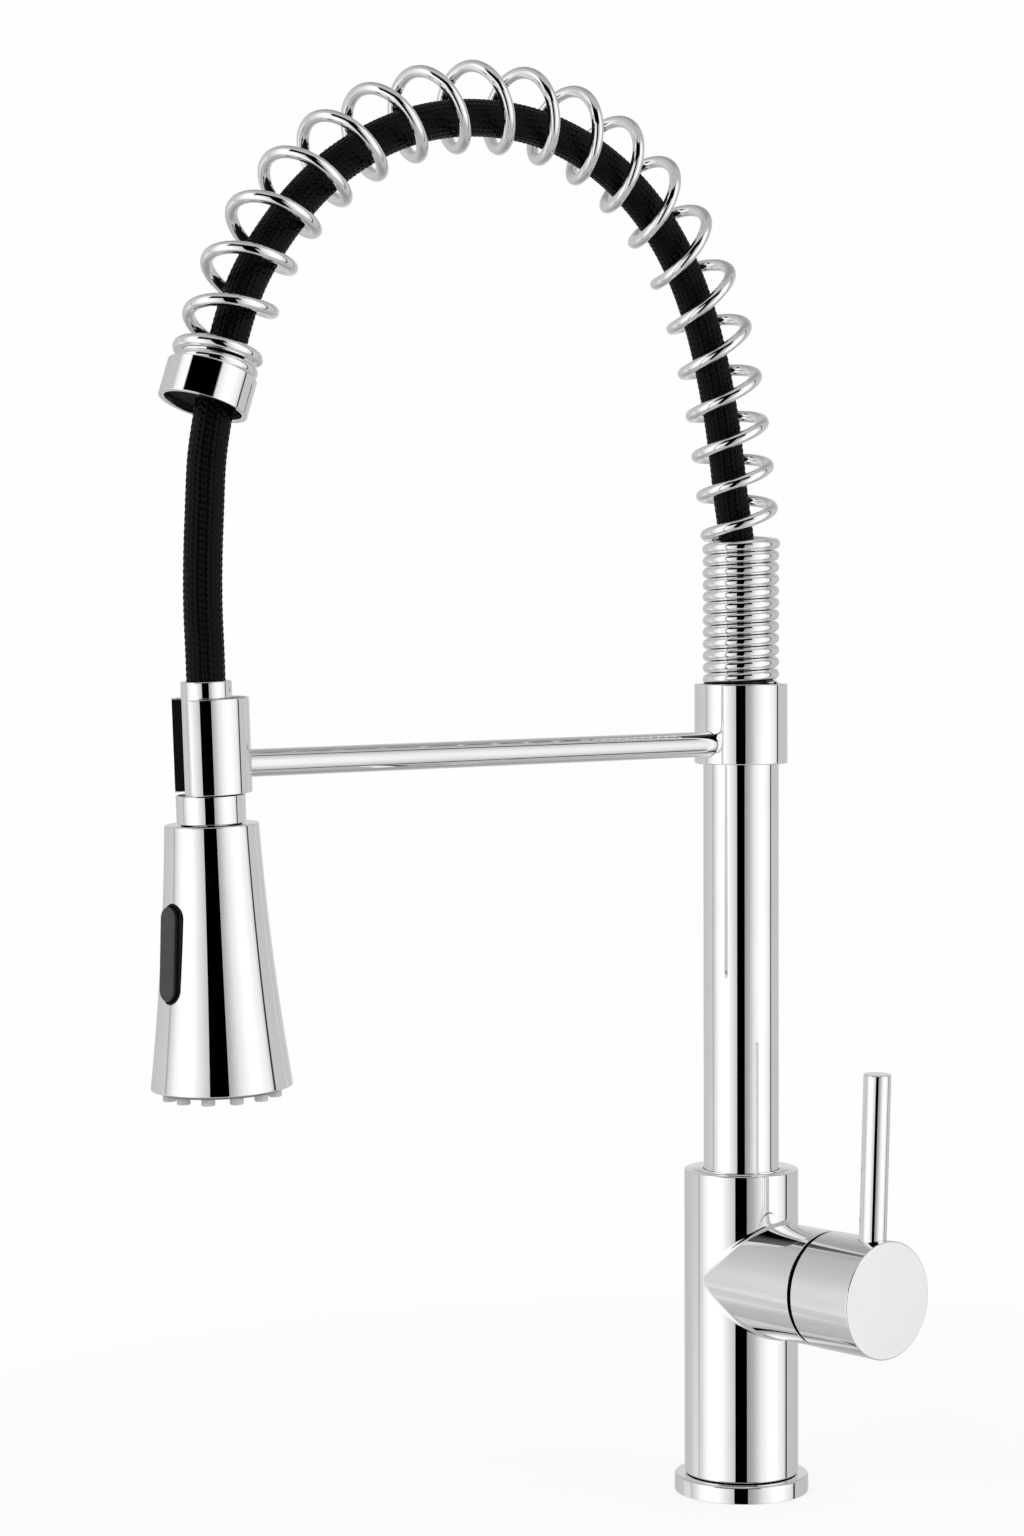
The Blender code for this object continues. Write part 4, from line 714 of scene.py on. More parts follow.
def make_valve_body():
    """Column and side branch of one radius, with the small rolled fillet where they meet."""
    skin = Skin()
    half = SEGMENTS_LARGE // 2
    centres = [junction_ball(-QUARTER_TURN + math.pi * step / half) for step in range(half + 1)]
    top = BODY_TOP - HANDLE_HEIGHT
    bottom = FLANGE_HEIGHT + GAP - HANDLE_HEIGHT
    seam_count = ROUND_STEPS + 2
    for sign, limit in ((1.0, top - BODY_ROUND), (-1.0, -(bottom + BODY_ROUND))):
        rim = []
        fillet = []
        branch = []
        for centre in centres:
            column_point = on_column(centre)
            branch_point = on_branch(centre)
            radial = Vector((column_point.x, column_point.y, 0.0)).normalized()
            away = Vector((0.0, branch_point.y, branch_point.z)).normalized()
            rim.append((Vector((column_point.x, column_point.y, limit)), radial))
            arc = [(column_point, radial)]
            for step in range(1, seam_count):
                lean = radial.slerp(away, step / seam_count) if radial.angle(away) > MERGE else radial
                arc.append((centre - lean * (math.hypot(centre.x, centre.y) - BODY_RADIUS), lean))
            fillet.append([*arc, (branch_point, away)])
            branch.append([(branch_point, away),
                           (Vector((BRANCH_END - BRANCH_ROUND, branch_point.y, branch_point.z)), away)])
        mirror = Matrix.Diagonal((1.0, 1.0, sign))
        for grid in ([rim, [arc[0] for arc in fillet]], fillet, branch):
            skin.patch([[(mirror @ point, mirror @ normal) for point, normal in row] for row in grid])

    front = [math.atan2(on_column(centre).y, on_column(centre).x) for centre in centres]
    back = [front[-1] + (FULL_TURN - 2.0 * front[-1]) * step / SEGMENTS_LARGE
            for step in range(SEGMENTS_LARGE + 1)]
    around, ways = ([Vector((math.cos(angle), math.sin(angle), 0.0)) for angle in angles]
                    for angles in (back, front[:-1] + back))
    level = on_column(centres[-1]).z
    skin.patch([[(way * BODY_RADIUS + UP * height, way) for way in around]
                for height in (top - BODY_ROUND, level, -level, bottom + BODY_ROUND)])
    seat = top - SEAT_DEPTH
    bore_bottom = top - FOOT_BORE_DEPTH
    skin.rim(ways, UP, BODY_RADIUS, top, BODY_ROUND, 1.0, RISER_RADIUS + GAP)
    skin.bands(ways, UP, [(RISER_RADIUS + GAP, top), (RISER_RADIUS + GAP, seat), (FOOT_BORE_RADIUS, seat),
                          (FOOT_BORE_RADIUS, bore_bottom), (0.0, bore_bottom)])
    skin.rim(ways, UP, BODY_RADIUS, bottom, BODY_ROUND, -1.0, SHANK_RADIUS)
    skin.bands(ways, UP, [(SHANK_RADIUS, bottom), (SHANK_RADIUS, -HANDLE_HEIGHT), (0.0, -HANDLE_HEIGHT)])

    spokes = []
    for sign, order in ((1.0, centres), (-1.0, centres[::-1])):
        for centre in order:
            point = on_branch(centre)
            way = Vector((0.0, point.y, sign * point.z)).normalized()
            if not spokes or (way - spokes[-1]).length > MERGE:
                spokes.append(way)
    along = Vector((1.0, 0.0, 0.0))
    # The branch's end face and its bore take the second finish, painted black as shade in the slit.
    skin.rim(spokes, along, BRANCH_RADIUS, BRANCH_END, BRANCH_ROUND, 1.0, CARTRIDGE_BORE, 1)
    skin.bands(spokes, along, [(CARTRIDGE_BORE, BRANCH_END), (CARTRIDGE_BORE, CARTRIDGE_SEAT),
                               (0.0, CARTRIDGE_SEAT)], 1)
    body = skin.piece("valve_body_shell", frame_at((0.0, 0.0, HANDLE_HEIGHT)), CHROME, PAINTED_GAP_SHADE)
    dress(body, "base", "valve_body")


def socket_screw(name, radius, top, bottom, place, body, node):
    """Grub screw with a hexagon socket."""
    finished(rod(name, radius, top, bottom, place, STEEL, SEGMENTS_SMALL, EDGE / 2.0), body, node,
             rod(name + "_socket", radius * SOCKET_SHARE, top + OVERRUN, top - radius, place,
                 segments=SOCKET_SIDES))


def make_handle():
    hub = turned("handle_hub_shell", [
        (0.0, HUB_END), (HUB_RADIUS, HUB_END, EDGE), (HUB_RADIUS, HUB_START, BRANCH_ROUND),
        (HUB_RADIUS - HUB_WALL, HUB_START), (HUB_RADIUS - HUB_WALL, HUB_START + HUB_CAVITY_DEPTH),
        (0.0, HUB_START + HUB_CAVITY_DEPTH)], HANDLE_FRAME, CHROME, closed=False)
    slope = math.atan2(HUB_RELIEF_DEPTH, HUB_RELIEF_LENGTH)
    relief_corner = Vector((HUB_START, 0.0, HANDLE_HEIGHT - HUB_RADIUS + HUB_RELIEF_DEPTH))
    relief_size = HUB_RADIUS * 2.0
    relief_frame = Matrix.Translation(relief_corner) @ Matrix.Rotation(slope, 4, "Y") \
        @ Matrix.Translation((0.0, 0.0, -relief_size / 2.0))
    cavity_end = HUB_START + HUB_CAVITY_DEPTH
    stem_end = cavity_end + STEM_SOCKET_DEPTH
    lever_frame = frame_at((LEVER_TOP_REACH, 0.0, LEVER_TOP), (0.0, LEVER_LEAN, 0.0))
    lever_length = LEVER_TOP - (HANDLE_HEIGHT + HUB_RADIUS) + LEVER_SOCKET_DEPTH
    under = frame_at(((cavity_end + stem_end) / 2.0, 0.0, HANDLE_HEIGHT), (2.0 * QUARTER_TURN, 0.0, 0.0))
    carve(hub,
          cube("relief", relief_size, relief_frame),
          rod("stem_socket", STEM_RADIUS + GAP, stem_end, cavity_end - OVERRUN, HANDLE_FRAME,
              segments=SEGMENTS_SMALL),
          rod("lever_socket", LEVER_RADIUS + GAP / 2.0, 0.0, -lever_length - GAP, lever_frame),
          rod("screw_hole", HUB_SCREW_RADIUS + GAP, HUB_RADIUS + OVERRUN, STEM_RADIUS - GAP, under,
              segments=SEGMENTS_SMALL))
    smooth(hub)
    # The hub's open end and hollow are painted black as shade in the slit.
    paint_gap_shade(hub, HUB_START + GAP)
    dress(hub, "handle_tilt", "handle_hub")
    lever = rod("lever", LEVER_RADIUS, 0.0, -lever_length, lever_frame, CHROME, SEGMENTS_MIDDLE, EDGE)
    finished(lever, "handle_tilt", "lever_rod")
    socket_screw("hub_screw", HUB_SCREW_RADIUS, HUB_RADIUS - HUB_SCREW_RECESS, STEM_RADIUS + GAP, under,
                 "handle_tilt", "hub_grub_screw")


def paint_gap_shade(item, depth):
    """Paints the faces at and inside a hub's open end black: painted shade for the slit and the hollow behind
    it.
    """
    item.data.materials.append(PAINTED_GAP_SHADE)
    for face in item.data.polygons:
        inside = math.hypot(face.center.x, face.center.y) < HUB_RADIUS - HUB_WALL + GAP
        mouth = face.center.z < depth and face.normal.z < -FLAT_FACING
        if mouth or (inside and face.center.z < HUB_END - GAP):
            face.material_index = 1


def make_riser():
    section = ring(RISER_RADIUS, RISER_RADIUS - RISER_WALL, RISER_TOP, RISER_BOTTOM)
    finished(turned("riser", section, UPRIGHT, CHROME), "spout", "riser_tube")
    screw_height = BODY_TOP - FOOT_BORE_DEPTH + RETAINER_HEIGHT_ABOVE_BORE
    back = frame_at((0.0, 0.0, screw_height), (-QUARTER_TURN, 0.0, 0.0))
    socket_screw("retainer", RETAINER_RADIUS, BODY_RADIUS - EDGE / 2.0, FOOT_BORE_RADIUS - EDGE, back,
                 "base", "retaining_screw")


def clip_wedge():
    """Cutter for the clip's open side, with its edge on the spray axis."""
    across = 2.0 * CLIP_RADIUS * math.sin(CLIP_OPENING_HALF)
    along = -2.0 * CLIP_RADIUS * math.cos(CLIP_OPENING_HALF)
    corners = [(x, y, height) for height in (CLIP_BOTTOM - OVERRUN, CLIP_TOP + OVERRUN)
               for x, y in ((0.0, 0.0), (-across, along), (across, along))]
    mesh = new_mesh("clip_wedge", corners, [(2, 1, 0), (3, 4, 5), (0, 1, 4, 3), (1, 2, 5, 4), (2, 0, 3, 5)])
    return add_piece("clip_wedge", mesh, SPRAY_FRAME @ Matrix.Rotation(CLIP_OPENING_TURN, 4, "Z"))


def make_holder():
    """Upper ring, arm, open clip and its liner."""
    arm_start = RING_RADIUS - ARM_SINK
    hub = turned("upper_ring", ring(RING_RADIUS, RISER_RADIUS + GAP, RING_TOP, RING_BOTTOM, EDGE), UPRIGHT,
                 CHROME)
    screw_frame = frame_at((0.0, 0.0, ARM_HEIGHT), (-QUARTER_TURN, 0.0, 0.0))
    finished(hub, "spout", "arm_hub",
             rod("arm_hole", ARM_RADIUS + GAP / 2.0, RING_RADIUS + OVERRUN, arm_start - GAP, ARM_FRAME),
             rod("ring_screw_hole", RING_SCREW_RADIUS + GAP / 2.0, RING_RADIUS + OVERRUN, RISER_RADIUS - GAP,
                 screw_frame, segments=SEGMENTS_SMALL))
    socket_screw("ring_screw", RING_SCREW_RADIUS, RING_RADIUS - EDGE, RISER_RADIUS + GAP, screw_frame,
                 "spout", "arm_grub_screw")
    inner = CLIP_RADIUS - CLIP_WALL
    arm_end = REACH - inner - GAP
    finished(rod("arm", ARM_RADIUS, arm_end, arm_start, ARM_FRAME, CHROME), "spout", "holder_arm")
    clip = turned("clip", ring(CLIP_RADIUS, inner, CLIP_TOP, CLIP_BOTTOM, GAP, GAP), SPRAY_FRAME, CHROME)
    lining = ring(inner - GAP, inner - GAP - LINER_WALL, CLIP_TOP - EDGE, CLIP_BOTTOM + EDGE)
    liner = turned("clip_lining", lining, SPRAY_FRAME, LINING_BLACK)
    arm_hole = rod("clip_arm_hole", ARM_RADIUS + GAP / 2.0, arm_end + OVERRUN, arm_end - CLIP_WALL - OVERRUN,
                   ARM_FRAME)
    finished(clip, "spout", "holder_clip", arm_hole, clip_wedge())
    finished(liner, "spout", "clip_liner", clip_wedge())


def make_hose_end():
    """Ferrule and the collar at the spring's free end."""
    head_top = SHELL_TOP - SHELL_ROOF - GAP
    head_bottom = head_top - FERRULE_HEAD_HEIGHT
    socket_floor = FERRULE_TOP - FERRULE_SOCKET
    bore = HOSE_RADIUS + GAP
    ferrule = turned("ferrule", [
        (FERRULE_RADIUS, FERRULE_TOP, EDGE), (FERRULE_RADIUS, head_top),
        (FERRULE_RADIUS + FERRULE_HEAD_LIP, head_top), (FERRULE_RADIUS + FERRULE_HEAD_LIP, head_bottom),
        (NIPPLE_BORE, head_bottom), (NIPPLE_BORE, socket_floor), (bore, socket_floor),
        (bore, FERRULE_TOP, EDGE / 2.0)], SPRAY_FRAME, CHROME, segments=SEGMENTS_MIDDLE)
    finished(ferrule, "hose_end", "hose_ferrule")
    roof = COLLAR_SEAT_DEPTH + COLLAR_WALL
    collar = turned("end_collar", [
        (COLLAR_RADIUS, 0.0, GAP), (COLLAR_RADIUS, -COLLAR_HEIGHT, GAP),
        (COLLAR_RADIUS - COLLAR_WALL, -COLLAR_HEIGHT, EDGE), (COLLAR_RADIUS - COLLAR_WALL, -roof),
        (COLLAR_HOLE, -roof), (COLLAR_HOLE, -COLLAR_SEAT_DEPTH, GAP),
        (COLLAR_SEAT_RADIUS, -COLLAR_SEAT_DEPTH), (COLLAR_SEAT_RADIUS, 0.0, GAP)], COLLAR_FRAME, CHROME)
    finished(collar, "hose_end", "spring_end_collar")


def shell_radius(height):
    """Outer radius of the flared spray shell at a height along its axis."""
    share = (SHELL_TOP - height) / (SHELL_TOP - SHELL_BOTTOM)
    bend = SHELL_STRAIGHT_SHARE * share + (1.0 - SHELL_STRAIGHT_SHARE) * share * share
    return SHELL_TOP_RADIUS + (SHELL_BOTTOM_RADIUS - SHELL_TOP_RADIUS) * bend


def make_spray_head():
    hole = FERRULE_RADIUS + GAP
    seat = SHELL_TOP + GAP
    recess = SPRAY_COLLAR_RADIUS - SPRAY_WASHER_INSET + GAP
    recess_top = seat + SPRAY_WASHER_HEIGHT + GAP
    collar = turned("head_collar", [
        (SPRAY_COLLAR_RADIUS, SPRAY_COLLAR_TOP, EDGE), (SPRAY_COLLAR_RADIUS, seat, EDGE / 2.0),
        (recess, seat), (recess, recess_top), (hole, recess_top), (hole, SPRAY_COLLAR_TOP)],
        SPRAY_FRAME, CHROME)
    finished(collar, "spray_head", "spray_collar")
    roof = SHELL_TOP - SHELL_ROOF
    corners = [(hole, SHELL_TOP)]
    outside = (SHELL_TOP, SHELL_BOTTOM, 0.0, EDGE)
    inside = (SHELL_BOTTOM, roof, SHELL_WALL, 0.0)
    for start, end, wall, fillet in (outside, inside):
        for step in range(SHELL_STEPS + 1):
            height = start + (end - start) * step / SHELL_STEPS
            corners.append((shell_radius(height) - wall, height, fillet if step in (0, SHELL_STEPS) else 0.0))
    shell = turned("head_shell", [*corners, (hole, roof)], SPRAY_FRAME, CHROME)
    finished(shell, "spray_head", "spray_shell",
             rod("window", BUTTON_WIDTH / 2.0 + GAP, BUTTON_FACE + OVERRUN, WATERWAY_RADIUS + GAP,
                 BUTTON_FRAME, segments=SEGMENTS_SMALL, straight=BUTTON_LENGTH - BUTTON_WIDTH))
    make_spray_face()
    make_button()


def make_spray_face():
    """Face plate with its holes, the soft nubs that stand through it and the aerator in the middle."""
    face_bottom = SHELL_BOTTOM - FACE_PROUD
    face_top = face_bottom + FACE_HEIGHT
    face_outer = shell_radius(face_top) - SHELL_WALL - GAP
    inner = AERATOR_RADIUS + GAP
    face = turned("face_plate", ring(face_outer, inner, face_top, face_bottom, EDGE, EDGE / 2.0), SPRAY_FRAME,
                  FACE_GREY)
    mat_bottom = face_top + GAP
    mat_top = mat_bottom + MAT_HEIGHT
    mat = turned("nozzle_skin", ring(shell_radius(mat_top) - SHELL_WALL - GAP, inner, mat_top, mat_bottom),
                 SPRAY_FRAME, NUB_GREY, segments=SEGMENTS_MIDDLE)
    finished(mat, "spray_head", "nozzle_mat")
    holes = []
    for number in range(NUB_COUNT):
        angle = NUB_PHASE + FULL_TURN * number / NUB_COUNT
        across = (NUB_RING_RADIUS * math.cos(angle), NUB_RING_RADIUS * math.sin(angle), 0.0)
        place = SPRAY_FRAME @ Matrix.Translation(across)
        holes.append(rod("hole_%d" % number, NUB_RADIUS + GAP, face_top + OVERRUN, face_bottom - OVERRUN,
                         place, segments=SEGMENTS_SMALL))
        tip = face_bottom - NUB_LENGTH
        nub = turned("nub_%02d" % number, [
            (0.0, mat_bottom), (NUB_RADIUS, mat_bottom), (NUB_RADIUS, tip, EDGE),
            (NUB_HOLE_RADIUS, tip, EDGE / 4.0), (NUB_HOLE_RADIUS * NUB_TAPER, tip + NUB_HOLE_RADIUS),
            (0.0, tip + NUB_RADIUS)], place, NUB_GREY, closed=False, segments=SEGMENTS_SMALL)
        dress(smooth(nub, False), "spray_head")
    finished(face, "spray_head", "spray_face", *holes)
    aerator = ring(AERATOR_RADIUS, AERATOR_BORE, mat_bottom + AERATOR_LENGTH, face_bottom, EDGE, EDGE)
    finished(turned("aerator_ring", aerator, SPRAY_FRAME, FACE_GREY, segments=SEGMENTS_MIDDLE), "spray_head",
             "aerator")


def make_button():
    """Oblong spray button in its dark rim."""
    straight = BUTTON_LENGTH - BUTTON_WIDTH
    half = BUTTON_WIDTH / 2.0
    rim = ring(half, half - BEZEL_WALL, BEZEL_FACE, BEZEL_FACE - BEZEL_HEIGHT, EDGE / 4.0, EDGE / 4.0)
    bezel = turned("button_rim", rim, BUTTON_FRAME, RIM_BLACK_AND_SIDE_SHADE, segments=SEGMENTS_SMALL, straight=straight)
    finished(bezel, "spray_head", "button_bezel", turned_shape=False)
    radius = half - BEZEL_WALL - GAP
    back = BUTTON_FACE - BUTTON_HEIGHT
    corners = [(0.0, BUTTON_FACE), (radius, BUTTON_FACE, BUTTON_ROUND), (radius, back), (0.0, back)]
    button = turned("button_cap", corners, BUTTON_FRAME, BUTTON_GREY, False, SEGMENTS_SMALL, straight)
    # The cap's sides below its rounded edge are painted black as shade; the face keeps its grey.
    button.data.materials.append(RIM_BLACK_AND_SIDE_SHADE)
    for face in button.data.polygons:
        face.material_index = int(face.normal.z < SHADED_SIDE_FACING)
    finished(button, "button", "spray_button", turned_shape=False)


def natural_spline(knots, values):
    """Function that reads a smooth curve through values at rising knots (natural cubic spline)."""
    knots = np.asarray(knots, float)
    values = np.asarray(values, float)
    if values.ndim == 1:
        values = values[:, None]
    count = len(knots)
    steps = np.diff(knots)
    system = np.eye(count)
    right = np.zeros_like(values)
    for row in range(1, count - 1):
        system[row, row - 1] = steps[row - 1]
        system[row, row] = 2.0 * (steps[row - 1] + steps[row])
        system[row, row + 1] = steps[row]
        rises = np.diff(values[row - 1:row + 2], axis=0) / steps[row - 1:row + 1, None]
        right[row] = 6.0 * (rises[1] - rises[0])
    bend = np.linalg.solve(system, right)

    def read(where):
        where = np.atleast_1d(np.asarray(where, float))
        cell = np.clip(np.searchsorted(knots, where) - 1, 0, count - 2)
        width = steps[cell][:, None]
        left = (knots[cell + 1] - where)[:, None]
        gone = (where - knots[cell])[:, None]
        return (bend[cell] * left ** 3 + bend[cell + 1] * gone ** 3) / (6.0 * width) \
            + (values[cell] / width - bend[cell] * width / 6.0) * left \
            + (values[cell + 1] / width - bend[cell + 1] * width / 6.0) * gone

    return read


def smooth_route(points):
    """Fine points of a smooth curve through a route of reach and height, with the run up to each."""
    route = np.asarray(points, float)
    chord = np.concatenate([[0.0], np.cumsum(np.linalg.norm(np.diff(route, axis=0), axis=1))])
    fine = natural_spline(chord, route)(np.linspace(0.0, chord[-1], ROUTE_SAMPLES))
    run = np.concatenate([[0.0], np.cumsum(np.linalg.norm(np.diff(fine, axis=0), axis=1))])
    return fine, run


def read_route(fine, run, where):
    return np.array([np.interp(where, run, fine[:, 0]), np.interp(where, run, fine[:, 1])])


def collar_point(above):
    """Reach and height of a point on the end collar's axis, above its top rim."""
    return np.array([COLLAR_TOP_REACH - above * math.sin(COLLAR_LEAN),
                     COLLAR_TOP_HEIGHT + above * math.cos(COLLAR_LEAN)])


def wire_point(centre, along, radius, turn, lean_share):
    """Point of the spring's wire: a turn of the given radius round a centre, square to the way along."""
    tangent = Vector((0.0, -along[0], along[1])).normalized()
    normal = Vector((1.0, 0.0, 0.0)).cross(tangent)
    side = tangent.cross(normal)
    angle = FULL_TURN * turn
    lean = (TURN_LEAN_SHARES[0] * math.cos(angle) + TURN_LEAN_SHARES[1] * math.sin(angle)) * lean_share
    offset = math.cos(angle) * normal + math.sin(angle) * side + lean * tangent
    return Vector((0.0, -centre[0], centre[1])) + offset * radius


def spring_points():
    """The wire: close turns on the riser, open turns over the arch, last turns into the end collar's seat."""
    arch = [(reach * ARCH_REACH, RING_TOP + rise * ARCH_RISE) for reach, rise in ARCH_SHARES]
    end_seat = WIRE_RADIUS - COLLAR_SEAT_DEPTH
    end_start = end_seat + END_TURNS * END_PITCH
    fine, run = smooth_route([*arch, collar_point(end_start)])
    shares = run / run[-1]
    turned_share, radius = (natural_spline(np.linspace(0.0, 1.0, len(knots)), knots)(shares)[:, 0]
                            for knots in (OPEN_PHASE_SHARES, OPEN_RADIUS_SHARES))
    radius *= OPEN_MEAN_RADIUS
    points = []
    wire_seat = RING_TOP - WIRE_RADIUS * GROUND_SHARE
    close_steps = math.floor((arch[0][1] - wire_seat) / CLOSE_PITCH * POINTS_PER_TURN)
    for step in range(close_steps):
        back = (close_steps - step) / POINTS_PER_TURN
        blend = max(0.0, 1.0 - back)
        here = CLOSE_MEAN_RADIUS + (radius[0] - CLOSE_MEAN_RADIUS) * blend
        centre = (0.0, arch[0][1] - CLOSE_PITCH * back)
        points.append(wire_point(centre, (0.0, 1.0), here, OPEN_START_TURN - back, 0.0))
    open_steps = round(OPEN_TURNS * POINTS_PER_TURN)
    for step in range(open_steps + 1):
        where = float(np.interp(step / open_steps, turned_share, run))
        ahead = min(where + CAD_WIRE_RADIUS, run[-1])
        behind = max(where - CAD_WIRE_RADIUS, 0.0)
        along = read_route(fine, run, ahead) - read_route(fine, run, behind)
        here = float(np.interp(where, run, radius))
        turn = OPEN_START_TURN + step / POINTS_PER_TURN
        lean_share = math.sin(math.pi * where / run[-1])
        points.append(wire_point(read_route(fine, run, where), along, here, turn, lean_share))
    down = collar_point(0.0) - collar_point(COLLAR_HEIGHT)
    end_steps = round(END_TURNS * POINTS_PER_TURN)
    last_turn = OPEN_START_TURN + open_steps / POINTS_PER_TURN
    for step in range(1, end_steps + 1):
        share = step / end_steps
        above = end_start + (end_seat - end_start) * share
        here = float(radius[-1]) + (END_MEAN_RADIUS - float(radius[-1])) * share ** 3
        points.append(wire_point(collar_point(above), down, here, last_turn + step / POINTS_PER_TURN, 0.0))
    return np.array([tuple(point) for point in points])


def swept_mesh(name, path, side, sides, radii):
    """Tube along a path. side is a sideways direction at each point; radii has a radius for every vertex."""
    tangents = np.gradient(path, axis=0)
    tangents /= np.linalg.norm(tangents, axis=1)[:, None]
    first = side - np.einsum("ij,ij->i", side, tangents)[:, None] * tangents
    first /= np.linalg.norm(first, axis=1)[:, None]
    second = np.cross(tangents, first)
    angles = FULL_TURN * np.arange(sides) / sides
    rings = path[:, None] + radii[:, :, None] * (np.cos(angles)[None, :, None] * first[:, None]
                                                  + np.sin(angles)[None, :, None] * second[:, None])
    count = len(path)
    faces = []
    for row in range(count - 1):
        for number in range(sides):
            beside = (number + 1) % sides
            faces.append((row * sides + number, row * sides + beside,
                          (row + 1) * sides + beside, (row + 1) * sides + number))
    faces.append(tuple(range(sides - 1, -1, -1)))
    faces.append(tuple((count - 1) * sides + number for number in range(sides)))
    mesh = new_mesh(name, rings.reshape(-1, 3).tolist(), faces)
    mesh.shade_smooth()
    mesh.set_sharp_from_angle(angle=WIRE_SHARP_ANGLE)
    return mesh


def make_return_spring():
    """Small spring under the button, which the press shortens; here it is drawn at rest on the spray head."""
    low = WATERWAY_RADIUS + GAP + RETURN_WIRE_RADIUS
    high = BUTTON_FACE - BUTTON_HEIGHT - GAP - RETURN_WIRE_RADIUS
    shares = np.linspace(0.0, 1.0, RETURN_TURNS * POINTS_PER_TURN + 1)
    angles = FULL_TURN * RETURN_TURNS * shares
    helix = zip(RETURN_RADIUS * np.cos(angles), RETURN_RADIUS * np.sin(angles), low + (high - low) * shares)
    path = np.array([tuple(BUTTON_FRAME @ Vector(point)) for point in helix])
    axis = (BUTTON_FRAME.to_3x3() @ UP).normalized()
    side = np.tile(tuple(axis), (len(path), 1))
    radii = np.full((len(path), RETURN_SIDES), RETURN_WIRE_RADIUS)
    mesh = swept_mesh("return_spring", path, side, RETURN_SIDES, radii)
    spring = dress(add_piece("return_spring", mesh, UPRIGHT, STEEL), "spray_head", "button_spring")
    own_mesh(spring)


def make_spring():
    """The one wire of the spring, with its ends rounded off and the lower one ground flat on the ring."""
    path = spring_points()
    start = path[0] - path[1]
    end = path[-1] - path[-2]
    start /= np.linalg.norm(start)
    end /= np.linalg.norm(end)
    angles = QUARTER_TURN * np.arange(1, ROUND_STEPS) / ROUND_STEPS
    before = [path[0] + start * EDGE * part for part in np.sin(angles)[::-1]]
    after = [path[-1] + end * EDGE * part for part in np.sin(angles)]
    shrink = WIRE_RADIUS - EDGE * (1.0 - np.cos(angles))
    radii = np.concatenate([shrink[::-1], np.full(len(path), WIRE_RADIUS), shrink])
    path = np.array([*before, *path, *after])
    outward = np.gradient(np.gradient(path, axis=0), axis=0) * -1.0
    outward[:ROUND_STEPS + 1] = outward[ROUND_STEPS + 1]
    outward[-ROUND_STEPS - 1:] = outward[-ROUND_STEPS - 2]
    mesh = swept_mesh("spring_wire", path, outward, WIRE_SIDES, np.repeat(radii[:, None], WIRE_SIDES, axis=1))
    for vertex in mesh.vertices:
        vertex.co.z = max(vertex.co.z, RING_TOP + GROUND_LIFT)
    wire = add_piece("spring_wire", mesh, UPRIGHT, WIRE_CHROME)
    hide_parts("spring")
    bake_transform(wire)


def make_hose():
    """Braided hose: oblong picks in columns that lean to alternate sides."""
    fine, run = smooth_route(HOSE_ROUTE)
    length = float(run[-1])
    rings = round(length / BRAID_PICK * BRAID_RINGS_PER_PICK)
    where = np.linspace(0.0, length, rings + 1)
    reach, height = read_route(fine, run, where)
    path = np.stack([np.zeros(len(where)), -reach, height], axis=1)
    sides = BRAID_COLUMNS * BRAID_SIDES_PER_COLUMN
    column = np.arange(sides) / BRAID_SIDES_PER_COLUMN
    across = column - np.floor(column) - 0.5 + 0.5 / BRAID_SIDES_PER_COLUMN
    lean = np.where(np.floor(column) % 2 == 0, 1.0, -1.0)
    pick = where[:, None] / BRAID_PICK + lean[None] * across[None] * BRAID_LEAN * 2.0
    lengthwise, crosswise = BRAID_ROUNDING
    swell = np.abs(np.sin(math.pi * pick)) ** lengthwise * np.cos(math.pi * across[None]) ** crosswise
    radii = HOSE_RADIUS - BRAID_DEPTH + BRAID_DEPTH * swell
    side = np.tile((1.0, 0.0, 0.0), (len(path), 1))
    hose = add_piece("braided_hose", swept_mesh("braided_hose", path, side, sides, radii), UPRIGHT, BRAID)
    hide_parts("hose")
    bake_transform(hose)


KEPT_NODES = {
    RUBBER: "base_gasket cartridge_seal foot_o_ring_upper foot_o_ring_lower collar_insert spray_washer",
    BRASS: "cartridge_nut cartridge_stem tube_foot hose_lower_fitting",
    STEEL: "filter_screen plunger",
    CERAMIC: "ceramic_disc_lower ceramic_disc_upper",
    WHITE_PLASTIC: "cartridge_body check_valve diverter_sleeve",
    FACE_GREY: "cartridge_carrier waterway",
    BLACK_PLASTIC: "slip_washer spring_post"}


def dress_nodes():
    """Finishes of the CAD nodes that stay as they are."""
    for finish, names in KEPT_NODES.items():
        for name in names.split():
            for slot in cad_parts[name].material_slots:
                slot.material = finish


def make_camera():
    """Camera at the photograph's place, fitted to the column, the arm and the spray head."""
    back = Vector((math.sin(CAMERA_SIDE), -math.cos(CAMERA_SIDE), 0.0))
    place = back * CAMERA_DISTANCE + UP * CAMERA_HEIGHT
    forward = Matrix.Rotation(-CAMERA_YAW, 3, "Z") @ (-back)
    right = forward.cross(UP).normalized()
    forward = Matrix.Rotation(-CAMERA_PITCH, 3, right) @ forward
    up = right.cross(forward)
    roll = Matrix.Rotation(CAMERA_ROLL, 3, forward)
    right = roll @ right
    up = roll @ up
    data = bpy.data.cameras.new("camera")
    data.sensor_fit = "HORIZONTAL"
    data.sensor_width = CAMERA_SENSOR
    data.lens = CAMERA_FOCAL_PIXELS * CAMERA_SENSOR / IMAGE_WIDTH
    data.clip_end = CAMERA_RANGE
    camera = bpy.data.objects.new("camera", data)
    bpy.context.scene.collection.objects.link(camera)
    turn = Matrix((right, up, -forward)).transposed().to_4x4()
    camera.matrix_world = Matrix.Translation(place) @ turn
    bpy.context.scene.camera = camera


def shown(level):
    """Strength of light for a brightness of the picture."""
    return STUDIO_GAIN * level ** DISPLAY_POWER


